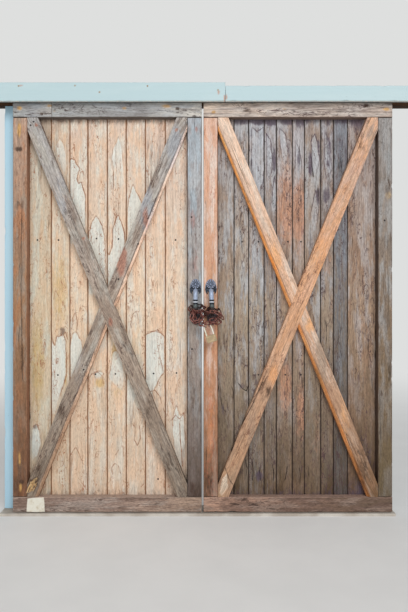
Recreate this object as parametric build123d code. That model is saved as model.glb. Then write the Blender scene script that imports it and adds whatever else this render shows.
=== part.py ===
from build123d import *
import math
import os

# Barn door: two sliding plank leaves on a flat bar track behind a painted fascia board.
# Sizes are in millimetres. X runs to the right, Y into the wall and Z up.
# The origin lies under the sill, midway between the closed leaves, in the plane of the track.

# Leaves
leaf_width = 1020.0
leaf_height = 2212.0
meeting_gap = 10.0
stile_width = 77.0
rail_height = 80.0
brace_width = 78.0
brace_end = 58.0            # how far along the rail a brace's upper end reaches from the stile
brace_bevel_width = 18.0    # along the lower front edge of the brace that runs under
brace_bevel_depth = 12.0
frame_depth = 45.0          # rails and braces, from their front to the boards
board_depth = 18.0
shoulder_gap = 3.0          # open joint between a rail and the end of a stile
brace_gap = 1.0
rail_splice = 210.0         # butt joint in the left top rail, from the leaf's outer edge
splice_gap = 2.0
arris = 2.0
seam = 1.5                  # open joint between two boards
tongue_length = 7.0
tongue_depth = 6.0
tongue_play = 0.4
left_boards = [122.0, 109.0, 105.0, 104.0, 106.0, 98.0, 102.0, 120.0]
right_boards = [90.0, 80.0, 85.0, 67.0, 87.0, 66.0, 89.0, 70.0, 77.0, 155.0]

# Frame on the wall
sill_height = 14.0
sill_nose = 42.0            # sill's front edge, from the track plane
floor_gap = 6.0             # under the leaves
channel_width = 12.0
channel_depth = 10.0
wall_gap = 12.0             # between a leaf's back and the posts
post_width = 100.0
post_depth = 50.0
left_post_lap = 31.0        # how far a closed leaf covers the post
right_post_lap = 85.0
header_lift = 4.0           # header's underside above the top of the leaves
header_height = 72.0
fascia_drop = 6.0           # how far the fascia hides the top of the leaves
fascia_depth = 20.0
fascia_front = 75.0
fascia_left_height = 101.0
fascia_right_height = 83.0
fascia_joint = 122.0
fascia_joint_gap = 1.5

# Track and rolling gear
travel = 985.0
bar_lift = 11.0             # bar's underside above the top of the leaves
bar_height = 24.0
bar_thickness = 6.0
track_end = 80.0            # bar beyond the last wheel
track_bolt_count = 8
track_bolt_inset = 60.0
track_bolt_lift = 9.0       # bolt centre above the bar's underside
bolt_radius = 5.0
bolt_head_radius = 8.0
bolt_head_height = 5.0
bolt_bite = 40.0            # bolt in the header
spacer_radius = 7.0
hole_play = 0.2
wheel_radius = 18.0         # at the bottom of the groove
flange_radius = 23.0
wheel_width = 16.0
groove_width = 7.4
web_thickness = 7.0
hub_radius = 8.5
rim_thickness = 3.5
axle_radius = 5.0
axle_play = 0.05
axle_head_height = 6.0
axle_head_radius = 9.0
nut_height = 8.0
wheel_play = 0.3            # between a wheel's hub and its hanger or nut
hanger_inset = 120.0        # wheel centre from the end of the leaf
hanger_width = 40.0
hanger_foot_length = 90.0
hanger_foot_depth = 39.0
strap_thickness = 6.0
hanger_gap = 11.0           # hanger's back face from the track plane
screw_radius = 3.0
screw_head_radius = 6.0
screw_length = 45.0
screw_spread = 64.0
stop_length = 30.0
stop_width = 24.0
stop_rise = 26.0
stop_skirt = 14.0
guide_pin_radius = 4.5
guide_pin_inset = 38.0
guide_plate_length = 56.0
guide_plate_width = 36.0
guide_plate_thickness = 3.0
guide_floor_play = 2.0
bracket_count = 6
bracket_width = 40.0
bracket_thickness = 3.0
bracket_rise = 2.0          # above the wheels
bracket_back_leg = 36.0
bracket_front_leg = 60.0
bracket_inset = 300.0
anchor_radius = 5.5
anchor_count = 6
anchor_inset = 200.0
anchor_drop = 17.0          # below the header's top
post_anchor_low = 300.0
post_anchor_high = 2000.0

# Handles
handle_length = 246.0
handle_height = 1155.0      # middle of the handles above the floor
left_handle_offset = 38.0   # from the middle of the door
right_handle_offset = 49.0
right_handle_lean = 3.0     # degrees
rose_width = 62.0
rose_height = 54.0
rose_thickness = 3.5
rim_width = 3.0
rim_rise = 1.5              # rim above the rose's plate
petal_count = 12
petal_length = 19.0
petal_root_radius = 1.2
petal_tip_radius = 3.2
flower_radius = 24.0        # tips of the petals from the middle of the flower
flower_height = 27.0        # middle of the flower above the foot of the rose
boss_radius = 6.5
boss_rise = 4.5
piercing_radius = 2.2       # holes between the tips of the petals
piercing_reach = 20.5
band_height = 6.0
band_rise = 3.0
wing_width = 58.0           # the two wings that curl down from the band
wing_drop = 27.0
wing_tip = 18.0
stem_width = 24.0
stem_drop = 30.0
grip_radius = 12.0
grip_gap = 30.0             # finger gap behind the grip
grip_bend = 26.0
grip_root = 60.0            # where the grip leaves the plate, from the handle's middle
root_radius = 16.0          # flare where the grip meets the plate
root_height = 9.0
bulb_radius = 13.2          # swelling of the grip below its rings
bead_radius = 14.5
bead_height = 7.0
collar_radius = 13.5
collar_height = 3.0
collar_shift = 10.0

# Chain and padlock
wire = 6.0
link_width = 23.0
link_pitch = 30.0           # inside length of a link
link_play = 0.8
chain_play = 1.5            # between the chain behind a grip and the stile
bow_steps = 3
shackle_wire = 7.6
shackle_span = 38.0         # between the centres of the legs
shackle_leg = 52.0          # straight leg above and inside the body
shackle_seat = 14.0         # leg inside the body
shackle_play = 0.3
lock_width = 54.0
lock_height = 38.0
lock_depth = 22.0
lock_edge = 3.0
lock_tilt = 18.0            # degrees, lower end to the right
lock_x = 23.0
lock_y = -104.0
lock_drop = 121.0           # middle of the wire at the top of the bow, below the handles' middle
hook_spread = 40.0          # degrees from the top of the bow to an end link
hook_seat = 4.1             # end joint of the chain past the bow's wire
left_ring_shift = 8.0       # middle of the left ring of chain from the middle of its handle
plug_radius = 6.0
plug_depth = 16.0
plug_play = 0.3
keyway_width = 2.0
keyway_length = 8.0
keyway_depth = 9.0

# Levels and planes that follow from the sizes above
leaf_depth = frame_depth + board_depth
leaf_front = -leaf_depth / 2
leaf_back = leaf_depth / 2
board_front = leaf_back - board_depth
lap_plane = leaf_front + frame_depth / 2
leaf_bottom = sill_height + floor_gap
leaf_top = leaf_bottom + leaf_height
leaf_edge = meeting_gap / 2 + leaf_width
field_width = leaf_width - 2 * stile_width
field_bottom = leaf_bottom + rail_height
field_top = leaf_top - rail_height
left_post_inner = leaf_edge - left_post_lap
right_post_inner = leaf_edge - right_post_lap
post_front = leaf_back + wall_gap
wall_plane = post_front + post_depth
header_bottom = leaf_top + header_lift
header_top = header_bottom + header_height
bar_bottom = leaf_top + bar_lift
bar_top = bar_bottom + bar_height
wheel_centre = bar_top + wheel_radius
wheel_top = wheel_centre + flange_radius
hanger_front = -hanger_gap - strap_thickness
wheel_insets = (hanger_inset, leaf_width - hanger_inset)
lock_top = handle_height - lock_drop
last_wheel = meeting_gap / 2 + wheel_insets[1] + travel
track_half = last_wheel + track_end
track_bolt_z = bar_bottom + track_bolt_lift
fascia_back = -fascia_front + fascia_depth
fascia_bottom = leaf_top - fascia_drop
parts = {}


def block(x_span, y_span, z_span):
    """A box between two limits along each axis."""
    spans = (x_span, y_span, z_span)
    sizes = [high - low for low, high in spans]
    middles = [(high + low) / 2 for low, high in spans]
    return Pos(*middles) * Box(*sizes)


def rod(start, along, radius, length):
    """A round bar from a start point, running along a direction."""
    plane = Plane(origin=start, z_dir=along)
    return extrude(plane * Circle(radius), length)


def hexagon(start, along, radius, length):
    """A six-sided head or nut from a start point, running along a direction."""
    plane = Plane(origin=start, z_dir=along)
    return extrude(plane * RegularPolygon(radius, 6), length)


def spread(half_length, inset, count):
    """Evenly spaced X places along a member that is centred on the door."""
    reach = half_length - inset
    return [-reach + 2 * reach * index / (count - 1) for index in range(count)]


def across(side, near, far):
    """The X span of a stretch measured outward from one leaf's meeting edge."""
    ends = [side * (meeting_gap / 2 + reach) for reach in (near, far)]
    return min(ends), max(ends)


def soften_front(solid, size):
    """The same timber with the edges of its front faces planed off."""
    front = solid.faces().sort_by(Axis.Y)[0]
    return chamfer(front.edges(), size)


def stile(side, near):
    """An upright of a leaf, cut back in front where the rails pass over it."""
    x_span = across(side, near, near + stile_width)
    body = block(x_span, (leaf_front, leaf_back), (leaf_bottom, leaf_top))
    front = (leaf_front, lap_plane)
    body -= block(x_span, front, (leaf_bottom, field_bottom + shoulder_gap))
    body -= block(x_span, front, (field_top - shoulder_gap, leaf_top))
    return soften_front(body, arris)


def rail(side, bottom, near, far):
    """A cross member of a leaf, cut back behind where the stiles pass it."""
    z_span = (bottom, bottom + rail_height)
    body = block(across(side, near, far), (leaf_front, board_front), z_span)
    for lap_near in (0, leaf_width - stile_width):
        lap = across(side, lap_near, lap_near + stile_width)
        body -= block(lap, (lap_plane, board_front), z_span)
    return soften_front(body, arris)


def brace_strip(side, outward):
    """A brace before its ends are cut; the one that leans outward as it climbs has no bevel."""
    half_field = field_width / 2
    half_rise = (field_top - field_bottom) / 2
    reach = half_field - brace_end
    lean = math.atan2(reach, half_rise)
    lean += math.asin(brace_width / 2 / math.hypot(reach, half_rise))
    turn = math.degrees(lean) * side * (1 if outward else -1)
    middle_x = side * (meeting_gap / 2 + leaf_width / 2)
    place = Pos(middle_x, (leaf_front + board_front) / 2, (field_bottom + field_top) / 2)
    strip = Box(brace_width, frame_depth, leaf_height * 1.5)
    if not outward:
        edge = -side * brace_width / 2
        front = -frame_depth / 2
        corner = Polygon(
            (edge, front), (edge + side * brace_bevel_width, front), (edge, front + brace_bevel_depth), align=None)
        strip -= extrude(corner, leaf_height, both=True)
    return place * Rot(0, turn, 0) * strip


def brace(side, outward):
    """A diagonal between two corners, half-lapped over or under the other one."""
    x_span = across(side, stile_width + brace_gap, leaf_width - stile_width - brace_gap)
    z_span = (field_bottom + brace_gap, field_top - brace_gap)
    body = brace_strip(side, outward) & block(x_span, (leaf_front, board_front), z_span)
    lap = (lap_plane, board_front) if outward else (leaf_front, lap_plane)
    body -= brace_strip(side, not outward) & block(x_span, lap, z_span)
    return body


def make_boards(side, name, widths):
    """The tongued and grooved boards between the stiles, from the meeting stile outward."""
    scale = field_width / sum(widths)
    middle = (board_front + leaf_back) / 2
    z_span = (leaf_bottom, leaf_top)
    near = stile_width
    for index, width in enumerate(widths):
        far = near + width * scale
        first = index == 0
        last = index == len(widths) - 1
        low = near if first else near + seam / 2
        high = far if last else far - seam / 2
        body = block(across(side, low, high), (board_front, leaf_back), z_span)
        body = chamfer(body.faces().sort_by(Axis.Y)[0].edges().filter_by(Axis.Z), arris)
        if not last:
            tongue_y = (middle - tongue_depth / 2, middle + tongue_depth / 2)
            body += block(across(side, high, high + tongue_length), tongue_y, z_span)
        if not first:
            reach = tongue_depth / 2 + tongue_play
            groove_length = tongue_length + seam
            groove = across(side, low, low + groove_length)
            body -= block(groove, (middle - reach, middle + reach), z_span)
        parts[f"{name}_board_{index + 1}"] = body
        near = far


def hanger(x):
    """An angle bracket on top of a leaf, with its upright in front of the bar."""
    foot_x = (x - hanger_foot_length / 2, x + hanger_foot_length / 2)
    foot_y = (hanger_front, hanger_front + hanger_foot_depth)
    foot = block(foot_x, foot_y, (leaf_top, leaf_top + strap_thickness))
    upright_x = (x - hanger_width / 2, x + hanger_width / 2)
    upright = block(upright_x, (hanger_front, -hanger_gap), (leaf_top, wheel_centre))
    eye = rod((x, hanger_front, wheel_centre), (0, 1, 0), hanger_width / 2, strap_thickness)
    body = foot + upright + eye
    body -= rod((x, hanger_front, wheel_centre), (0, 1, 0), axle_radius + axle_play, strap_thickness)
    for screw in screw_places(x):
        body -= countersunk(screw, hole_play)
    return body


def screw_places(x):
    """Tops of the two screws in a hanger's foot."""
    middle_y = (hanger_front + strap_thickness + hanger_front + hanger_foot_depth) / 2
    top = leaf_top + strap_thickness
    return [Vector(x + end * screw_spread / 2, middle_y, top) for end in (-1, 1)]


def countersunk(top, play):
    """A screw with a flat conical head, or the hole that it goes in."""
    head_height = screw_head_radius - screw_radius
    cone = Pos(*top) * Pos(0, 0, -head_height / 2)
    head = cone * Cone(screw_radius + play, screw_head_radius + play, head_height)
    return head + rod(top, (0, 0, -1), screw_radius + play, screw_length)


def wheel(x):
    """A grooved wheel that rolls on the bar."""
    half = wheel_width / 2
    front = -hanger_gap + wheel_play
    web = web_thickness / 2
    rim = wheel_radius - rim_thickness
    bore = axle_radius + axle_play
    groove = groove_width / 2
    profile = Polygon(
        (bore, front), (hub_radius, front), (hub_radius, -web), (rim, -web),
        (rim, -half), (flange_radius, -half), (flange_radius, -groove - 1),
        (wheel_radius, -groove), (wheel_radius, groove), (flange_radius, groove + 1),
        (flange_radius, half), (rim, half), (rim, web), (hub_radius, web),
        (hub_radius, half), (bore, half), align=None)
    return Pos(x, 0, wheel_centre) * revolve(profile, Axis.Y)


def hanger_fasteners(x):
    """A hanger's axle bolt, its nut and the two wood screws."""
    shank_end = wheel_width / 2 + wheel_play + nut_height
    head = hexagon((x, hanger_front, wheel_centre), (0, -1, 0), axle_head_radius, axle_head_height)
    shank = rod((x, hanger_front, wheel_centre), (0, 1, 0), axle_radius, shank_end - hanger_front)
    nut_start = (x, wheel_width / 2 + wheel_play, wheel_centre)
    nut = hexagon(nut_start, (0, 1, 0), axle_head_radius, nut_height)
    nut -= rod(nut_start, (0, 1, 0), axle_radius + axle_play, nut_height)
    screws = [countersunk(top, 0) for top in screw_places(x)]
    return [head + shank, nut] + screws


def guide_pin(side):
    """A pin on a plate under the meeting stile, running in the sill's channel."""
    x = side * (meeting_gap / 2 + guide_pin_inset)
    plate_x = (x - guide_plate_length / 2, x + guide_plate_length / 2)
    plate_y = (-guide_plate_width / 2, guide_plate_width / 2)
    plate_bottom = leaf_bottom - guide_plate_thickness
    plate = block(plate_x, plate_y, (plate_bottom, leaf_bottom))
    pin_end = sill_height - channel_depth + guide_floor_play
    return plate + rod((x, 0, plate_bottom), (0, 0, -1), guide_pin_radius, plate_bottom - pin_end)


def dome(inset):
    """The outline of a rose's plate, half an oval that stands on its foot."""
    half_width = rose_width / 2 - inset
    height = rose_height - inset
    return Ellipse(half_width, height) & Pos(0, height / 2) * Rectangle(2 * half_width, height)


def rose():
    """The flower of a handle's end plate, in a pierced plate with a rim, standing up from its foot."""
    plate = extrude(dome(0), rose_thickness)
    rim = extrude(dome(0) - dome(rim_width), rose_thickness + rim_rise)
    petal = Rot(-90, 0, 0) * Cone(petal_root_radius, petal_tip_radius, petal_length)
    petals = []
    for index in range(petal_count):
        turn = Pos(0, flower_height) * Rot(0, 0, 360 * index / petal_count)
        petals.append(turn * Pos(0, flower_radius - petal_length / 2, rose_thickness) * petal)
        hole_turn = turn * Rot(0, 0, 180 / petal_count)
        plate -= hole_turn * Pos(0, piercing_reach) * Cylinder(piercing_radius, 4 * rose_thickness)
    boss_height = rose_thickness + boss_rise
    boss = Pos(0, flower_height, boss_height / 2) * Cone(boss_radius, boss_radius / 2, boss_height)
    return plate + rim + petals + boss


def tulip():
    """The band under a rose and the cup below it, with two wings that curl down beside the stem."""
    half_band = rose_width / 2 + 1
    band_thickness = rose_thickness + band_rise
    band = Pos(0, 0, band_thickness / 2) * Box(2 * half_band, band_height, band_thickness)
    half = wing_width / 2
    stem = stem_width / 2
    edge = [
        Line((0, 0), (half, 0)),
        Bezier((half, 0), (half + 3, -wing_drop * 0.45), (half - 2, -wing_drop * 0.9), (wing_tip, -wing_drop)),
        Bezier((wing_tip, -wing_drop), (wing_tip + 5, -wing_drop * 0.65), (wing_tip, -wing_drop * 0.4), (stem, -9)),
        Line((stem, -9), (stem * 0.8, -stem_drop)),
        Line((stem * 0.8, -stem_drop), (0, -stem_drop)),
        Line((0, -stem_drop), (0, 0)),
    ]
    half_cup = make_face(edge)
    return band + extrude(half_cup + mirror(half_cup, Plane.YZ), rose_thickness)


def grip():
    """The bowed grip of a handle with its turned rings, a bead between two collars, and a swelling below."""
    centre_y = -(grip_gap + grip_radius)
    corners = [(0, 0, grip_root), (0, centre_y, grip_root), (0, centre_y, -grip_root), (0, 0, -grip_root)]
    path = FilletPolyline(*corners, radius=grip_bend)
    bow = sweep(Plane(origin=corners[0], z_dir=(0, -1, 0)) * Circle(grip_radius), path)
    for end in (-1, 1):
        root = Pos(0, -root_height / 2, end * grip_root) * Rot(90, 0, 0)
        bow += root * Cone(root_radius, grip_radius, root_height)
    straight = grip_root - grip_bend
    ring_end = collar_shift + collar_height
    swelling = [
        Spline((grip_radius, -straight), (bulb_radius, -(straight + ring_end) / 2), (grip_radius, -ring_end)),
        Line((grip_radius, -ring_end), (0, -ring_end)),
        Line((0, -ring_end), (0, -straight)),
        Line((0, -straight), (grip_radius, -straight)),
    ]
    bow += Pos(0, centre_y, 0) * revolve(Plane.XZ * make_face(swelling), Axis.Z)
    bow += Pos(0, centre_y, 0) * fillet(Cylinder(bead_radius, bead_height).edges().filter_by(GeomType.CIRCLE), 2)
    for end in (-1, 1):
        bow += Pos(0, centre_y, end * collar_shift) * Cylinder(collar_radius, collar_height)
    return bow


def handle():
    """A cast pull handle about its middle, with its back in the XZ plane and its front at -Y."""
    face = Plane(origin=(0, 0, 0), x_dir=(1, 0, 0), z_dir=(0, -1, 0))
    foot = handle_length / 2 - rose_height
    upper = face * (Pos(0, foot) * (rose() + tulip()))
    return upper + mirror(upper, Plane.XY) + grip()


def link():
    """One chain link about its middle, lying in the XY plane and long in X, of eight-sided wire."""
    outlines = []
    for radius in (link_width / 2, link_width / 2 - wire):
        reach = link_pitch / 2 + wire - link_width / 2
        points = []
        for start, centre in ((-90, reach), (90, -reach)):
            for step in range(bow_steps + 1):
                angle = math.radians(start + 180 * step / bow_steps)
                points.append((centre + radius * math.cos(angle), radius * math.sin(angle)))
        outlines.append(Polygon(*points, align=None))
    ring = extrude(outlines[0] - outlines[1], wire / 2, both=True)
    flats = ring.faces().filter_by(Axis.Z)
    return chamfer(flats.edges(), wire * 0.29)


def link_places(points, count, first_level, last_level, closed=False):
    """Where the links lie along a smooth route, each turned a quarter about it from the one before."""
    loose = last_level is None
    route = Spline(*points, periodic=closed)
    pitch = link_pitch - link_play if loose else route.length / count
    joints = [route.position_at(pitch * index, position_mode=PositionMode.LENGTH) for index in range(count + 1)]
    steps = [(joints[index + 1] - joints[index]).normalized() for index in range(count)]
    levels = []
    level = Vector(*first_level)
    for step in steps:
        level = (level - step * step.dot(level)).normalized()
        levels.append(level)
    last_step = steps[0] if closed else steps[-1]
    level = (level - last_step * last_step.dot(level)).normalized()
    twist = 0
    if not loose:
        goal = Vector(*last_level)
        goal = (goal - last_step * last_step.dot(goal)).normalized()
        twist = math.degrees(math.atan2(last_step.dot(level.cross(goal)), level.dot(goal)))
        twist = (twist + 90) % 180 - 90
    turns = count if closed else count - 1
    places = []
    for index, step in enumerate(steps):
        turned = levels[index].rotate(Axis((0, 0, 0), step), twist * index / turns)
        normal = turned if index % 2 else step.cross(turned)
        middle = (joints[index] + joints[index + 1]) / 2
        places.append(Plane(origin=middle, x_dir=step, z_dir=normal))
    return places


def side_seat(place, way, away, shift):
    """The inner end of a link that hangs on a side of another, how it hangs, and that side's run."""
    run = place.x_dir
    away = Vector(*away)
    away = (away - run * run.dot(away)).normalized()
    side_wire = place.origin + place.y_dir * way * (link_width - wire) / 2 + run * shift
    return side_wire - away * (wire + link_play) / 2, away, run


def hung_places(start, middle, count, end=None):
    """Links that hang on a side of another link and end loose, or on a side of one more."""
    seat, away, run = side_seat(*start)
    first_level = run.cross(away)
    points = [seat, seat + away * link_pitch] + middle
    if end is None:
        return link_places(points, count, first_level, None)
    seat, away, run = side_seat(*end)
    last_level = run.cross(away) if count % 2 else run
    return link_places(points + [seat + away * link_pitch, seat], count, first_level, last_level)


def hook(angle):
    """A point in the bow of the hanging shackle, the way out from there and the wire's run."""
    world = math.radians(angle - lock_tilt)
    tilt = math.radians(lock_tilt)
    half = shackle_span / 2
    centre = Vector(lock_x + half * math.sin(tilt), lock_y, lock_top - half * math.cos(tilt))
    outward = Vector(math.sin(world), 0, math.cos(world))
    tangent = Vector(math.cos(world), 0, -math.sin(world))
    return centre + outward * half, outward, tangent


def shackle():
    """A padlock's shackle with the top of its bow at the origin and its legs down."""
    half = shackle_span / 2
    leg_end = -half - shackle_leg
    path = Line((-half, 0, leg_end), (-half, 0, -half))
    path += ThreePointArc((-half, 0, -half), (0, 0, 0), (half, 0, -half))
    path += Line((half, 0, -half), (half, 0, leg_end))
    section = Plane(origin=(-half, 0, leg_end), z_dir=(0, 0, 1)) * Circle(shackle_wire / 2)
    return sweep(section, path)


def lock_body():
    """The padlock's body below its shackle, with holes for the legs and the key plug."""
    top = -shackle_span / 2 - shackle_leg + shackle_seat
    body = block((-lock_width / 2, lock_width / 2), (-lock_depth / 2, lock_depth / 2), (top - lock_height, top))
    body = fillet(body.edges(), lock_edge)
    for end in (-1, 1):
        start = (end * shackle_span / 2, 0, top)
        body -= rod(start, (0, 0, -1), shackle_wire / 2 + shackle_play, shackle_seat + 2)
    return body - rod((0, 0, top - lock_height), (0, 0, 1), plug_radius + plug_play, plug_depth + plug_play)


def lock_plug():
    """The key plug in the bottom of the lock body, with its keyway."""
    bottom = -shackle_span / 2 - shackle_leg + shackle_seat - lock_height
    plug = rod((0, 0, bottom), (0, 0, 1), plug_radius, plug_depth)
    slot = (-keyway_width / 2, keyway_width / 2)
    return plug - block(slot, (-keyway_length / 2, keyway_length / 2), (bottom, bottom + keyway_depth))


def make_frame():
    """Everything that stays on the wall."""
    left_end = -left_post_inner - post_width
    right_end = right_post_inner + post_width
    sill = block((left_end, right_end), (-sill_nose, wall_plane), (0, sill_height))
    sill = fillet(sill.edges().filter_by(Axis.X).sort_by(lambda edge: edge.center().Y - edge.center().Z)[0:1], 4)
    channel_y = (-channel_width / 2, channel_width / 2)
    parts["sill"] = sill - block((left_end, right_end), channel_y, (sill_height - channel_depth, sill_height))
    for name, inner, outer in (("left_post", -left_post_inner, left_end),
                               ("right_post", right_post_inner, right_end)):
        x_span = (min(inner, outer), max(inner, outer))
        post = block(x_span, (post_front, wall_plane), (sill_height, header_bottom))
        post = soften_front(post, arris)
        for height in (post_anchor_low, post_anchor_high):
            start = (sum(x_span) / 2, post_front, height)
            post -= rod(start, (0, 1, 0), anchor_radius, post_depth)
        parts[name] = post
    bolt_places = spread(track_half, track_bolt_inset, track_bolt_count)
    header = block((-track_half, track_half), (post_front, wall_plane), (header_bottom, header_top))
    bar = block((-track_half, track_half), (-bar_thickness / 2, bar_thickness / 2), (bar_bottom, bar_top))
    bolts = []
    spacers = []
    for x in bolt_places:
        front = (x, -bar_thickness / 2, track_bolt_z)
        back = (x, bar_thickness / 2, track_bolt_z)
        length = post_front + bar_thickness / 2 + bolt_bite
        head = hexagon(front, (0, -1, 0), bolt_head_radius, bolt_head_height)
        bolts.append(head + rod(front, (0, 1, 0), bolt_radius, length))
        spacer = rod(back, (0, 1, 0), spacer_radius, post_front - bar_thickness / 2)
        bolt_hole = rod(front, (0, 1, 0), bolt_radius + hole_play, length)
        spacers.append(spacer - bolt_hole)
        bar -= bolt_hole
        header -= bolt_hole
    for x in spread(track_half, anchor_inset, anchor_count):
        header -= rod((x, post_front, header_top - anchor_drop), (0, 1, 0), anchor_radius, post_depth)
    parts["header"] = header
    parts["track_bar"] = bar
    parts["track_bolts"] = bolts
    parts["track_spacers"] = spacers
    fascia_spans = {
        "left_fascia": ((-track_half, fascia_joint - fascia_joint_gap / 2), fascia_left_height),
        "right_fascia": ((fascia_joint + fascia_joint_gap / 2, track_half), fascia_right_height),
    }
    for name, (x_span, height) in fascia_spans.items():
        board = block(x_span, (-fascia_front, fascia_back), (fascia_bottom, fascia_bottom + height))
        parts[name] = soften_front(board, arris)
    parts["fascia_straps"] = [fascia_strap(x) for x in spread(track_half, bracket_inset, bracket_count)]
    parts["track_stops"] = [track_stop(side) for side in (-1, 1)]


def fascia_strap(x):
    """A flat strap bent into an upside-down U that carries the fascia from the header."""
    top = wheel_top + bracket_rise + bracket_thickness
    x_span = (x - bracket_width / 2, x + bracket_width / 2)
    bridge = block(x_span, (fascia_back, post_front), (top - bracket_thickness, top))
    back = block(x_span, (post_front - bracket_thickness, post_front), (top - bracket_back_leg, top))
    front = block(x_span, (fascia_back, fascia_back + bracket_thickness), (top - bracket_front_leg, top))
    return bridge + back + front


def track_stop(side):
    """A block on the bar's end that stops the last wheel."""
    end = side * track_half
    inner = end - side * stop_length
    x_span = (min(end, inner), max(end, inner))
    body = block(x_span, (-stop_width / 2, stop_width / 2), (bar_top - stop_skirt, bar_top + stop_rise))
    return body - block(x_span, (-bar_thickness / 2, bar_thickness / 2), (bar_top - stop_skirt, bar_top))


def make_leaf(side, name, widths, splice):
    """One leaf with its rolling gear and handle."""
    parts[f"{name}_meeting_stile"] = stile(side, 0)
    parts[f"{name}_outer_stile"] = stile(side, leaf_width - stile_width)
    parts[f"{name}_bottom_rail"] = rail(side, leaf_bottom, 0, leaf_width)
    if splice:
        joint = leaf_width - splice
        parts[f"{name}_top_rail"] = rail(side, field_top, 0, joint - splice_gap / 2)
        parts[f"{name}_top_rail_end"] = rail(side, field_top, joint + splice_gap / 2, leaf_width)
    else:
        parts[f"{name}_top_rail"] = rail(side, field_top, 0, leaf_width)
    parts[f"{name}_over_brace"] = brace(side, True)
    parts[f"{name}_under_brace"] = brace(side, False)
    make_boards(side, name, widths)
    places = [side * (meeting_gap / 2 + inset) for inset in wheel_insets]
    for rail_name in [key for key in parts if key.startswith(f"{name}_top_rail")]:
        for x in places:
            for top in screw_places(x):
                parts[rail_name] -= rod(top, (0, 0, -1), screw_radius, screw_length)
    parts[f"{name}_hangers"] = [hanger(x) for x in places]
    parts[f"{name}_hanger_bolts"] = [piece for x in places for piece in hanger_fasteners(x)]
    parts[f"{name}_inner_wheel"] = wheel(places[0])
    parts[f"{name}_outer_wheel"] = wheel(places[1])
    parts[f"{name}_guide_pin"] = guide_pin(side)


def make_handles():
    """Both handles, the chain wound round them and the padlock."""
    cast = handle()
    parts["left_handle"] = Pos(-left_handle_offset, leaf_front, handle_height) * cast
    right_place = Pos(right_handle_offset, leaf_front, handle_height)
    parts["right_handle"] = right_place * Rot(0, -right_handle_lean, 0) * cast
    behind = leaf_front - link_width / 2 - chain_play
    before = leaf_front - grip_gap - 2 * grip_radius - link_width / 2 - 2
    half_way = (behind + before) / 2
    draped = before - link_width - 4
    left = left_ring_shift - left_handle_offset
    high = handle_height - 22
    low = handle_height - 52
    round_left = link_places([
        (left, behind, high), (left + 32, behind - 10, high), (left + 42, half_way, high - 6),
        (left + 28, before + 8, low + 5), (left, before, low - 1), (left - 28, before + 8, low + 3),
        (left - 42, half_way, high - 14), (left - 32, behind - 11, high - 4)], 8, (0, 0, 1), (0, 0, 1), True)
    drape = hung_places((round_left[3], 1, (-0.25, -0.55, -0.8), 0), [
        (left + 13, draped + 1, low - 47), (left - 8, draped - 2, low - 55), (left - 28, draped - 1, low - 43),
        (left - 30, draped, low - 24)], 6, (round_left[4], 1, (-0.2, -0.75, -0.6), 3.5))
    tail = hung_places((round_left[4], -1, (0, 0, -1), -3.5), [(left - 10, before + 5, low - 62)], 2)
    parts["left_chain"] = [place * link() for place in round_left + drape + tail]
    right = right_handle_offset
    left_hook, left_out, left_tangent = hook(-hook_spread)
    right_hook, right_out, right_tangent = hook(hook_spread)
    high = handle_height - 35.1
    low = handle_height - 88
    round_right = link_places([
        left_hook - left_out * hook_seat, left_hook + left_out * link_pitch,
        (right - 51, before, low - 5), (right - 43, half_way - 8, high - 33), (right - 27, behind - 10, high - 7),
        (right, behind, high),
        (right + 30, behind - 8, high - 3), (right + 44, half_way, high - 21), (right + 36, before, low),
        right_hook + right_out * link_pitch, right_hook - right_out * hook_seat], 12, (0, 1, 0), right_tangent)
    loose_end = hung_places((round_right[3], 1, (0.53, -0.67, 0.46), 0), [
        (right - 3, draped + 5, low + 38), (right + 19, draped + 1, low + 36), (right + 41, draped + 4, low + 25),
        (right + 60, draped + 12, low - 6)], 5)
    across_bow = hung_places((round_right[9], -1, (0.2, -0.4, -0.9), 3), [
        (right + 32, draped + 7, low - 24), (right + 12, draped + 3, low - 24), (right - 11, draped - 1, low - 21)],
        5, (round_right[1], 1, (0.6, -0.75, 0.1), 0))
    parts["right_chain"] = [place * link() for place in round_right + loose_end + across_bow]
    place = Pos(lock_x, lock_y, lock_top) * Rot(0, -lock_tilt, 0)
    parts["lock_shackle"] = place * shackle()
    parts["lock_body"] = place * lock_body()
    parts["lock_plug"] = place * lock_plug()


make_frame()
make_leaf(-1, "left", left_boards, rail_splice)
make_leaf(1, "right", right_boards, 0)
make_handles()

os.makedirs("parts", exist_ok=True)
for node, shape in parts.items():
    solids = Compound(children=shape) if isinstance(shape, list) else shape
    export_step(solids, f"parts/{node}.step")
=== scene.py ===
import math

import bmesh
import bpy
import numpy as np
from mathutils import Matrix, Vector, noise


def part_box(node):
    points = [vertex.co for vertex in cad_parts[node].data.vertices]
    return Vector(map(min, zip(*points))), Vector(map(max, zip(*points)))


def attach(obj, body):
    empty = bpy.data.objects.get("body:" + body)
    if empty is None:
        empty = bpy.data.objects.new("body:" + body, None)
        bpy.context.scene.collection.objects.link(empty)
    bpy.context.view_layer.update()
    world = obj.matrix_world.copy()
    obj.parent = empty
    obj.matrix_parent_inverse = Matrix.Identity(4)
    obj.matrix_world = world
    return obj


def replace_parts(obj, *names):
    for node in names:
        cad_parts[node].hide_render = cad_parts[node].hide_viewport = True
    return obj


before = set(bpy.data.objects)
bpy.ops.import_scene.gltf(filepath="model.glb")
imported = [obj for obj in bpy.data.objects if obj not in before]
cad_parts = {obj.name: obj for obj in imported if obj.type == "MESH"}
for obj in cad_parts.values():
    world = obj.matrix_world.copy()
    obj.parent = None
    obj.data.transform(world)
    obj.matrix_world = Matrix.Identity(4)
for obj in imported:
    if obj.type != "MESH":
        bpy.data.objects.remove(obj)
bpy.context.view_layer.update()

# A weathered pair of sliding barn doors: worn timbers, cast handles, rusty chain and padlock.
# Everything is in metres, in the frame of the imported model.

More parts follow.
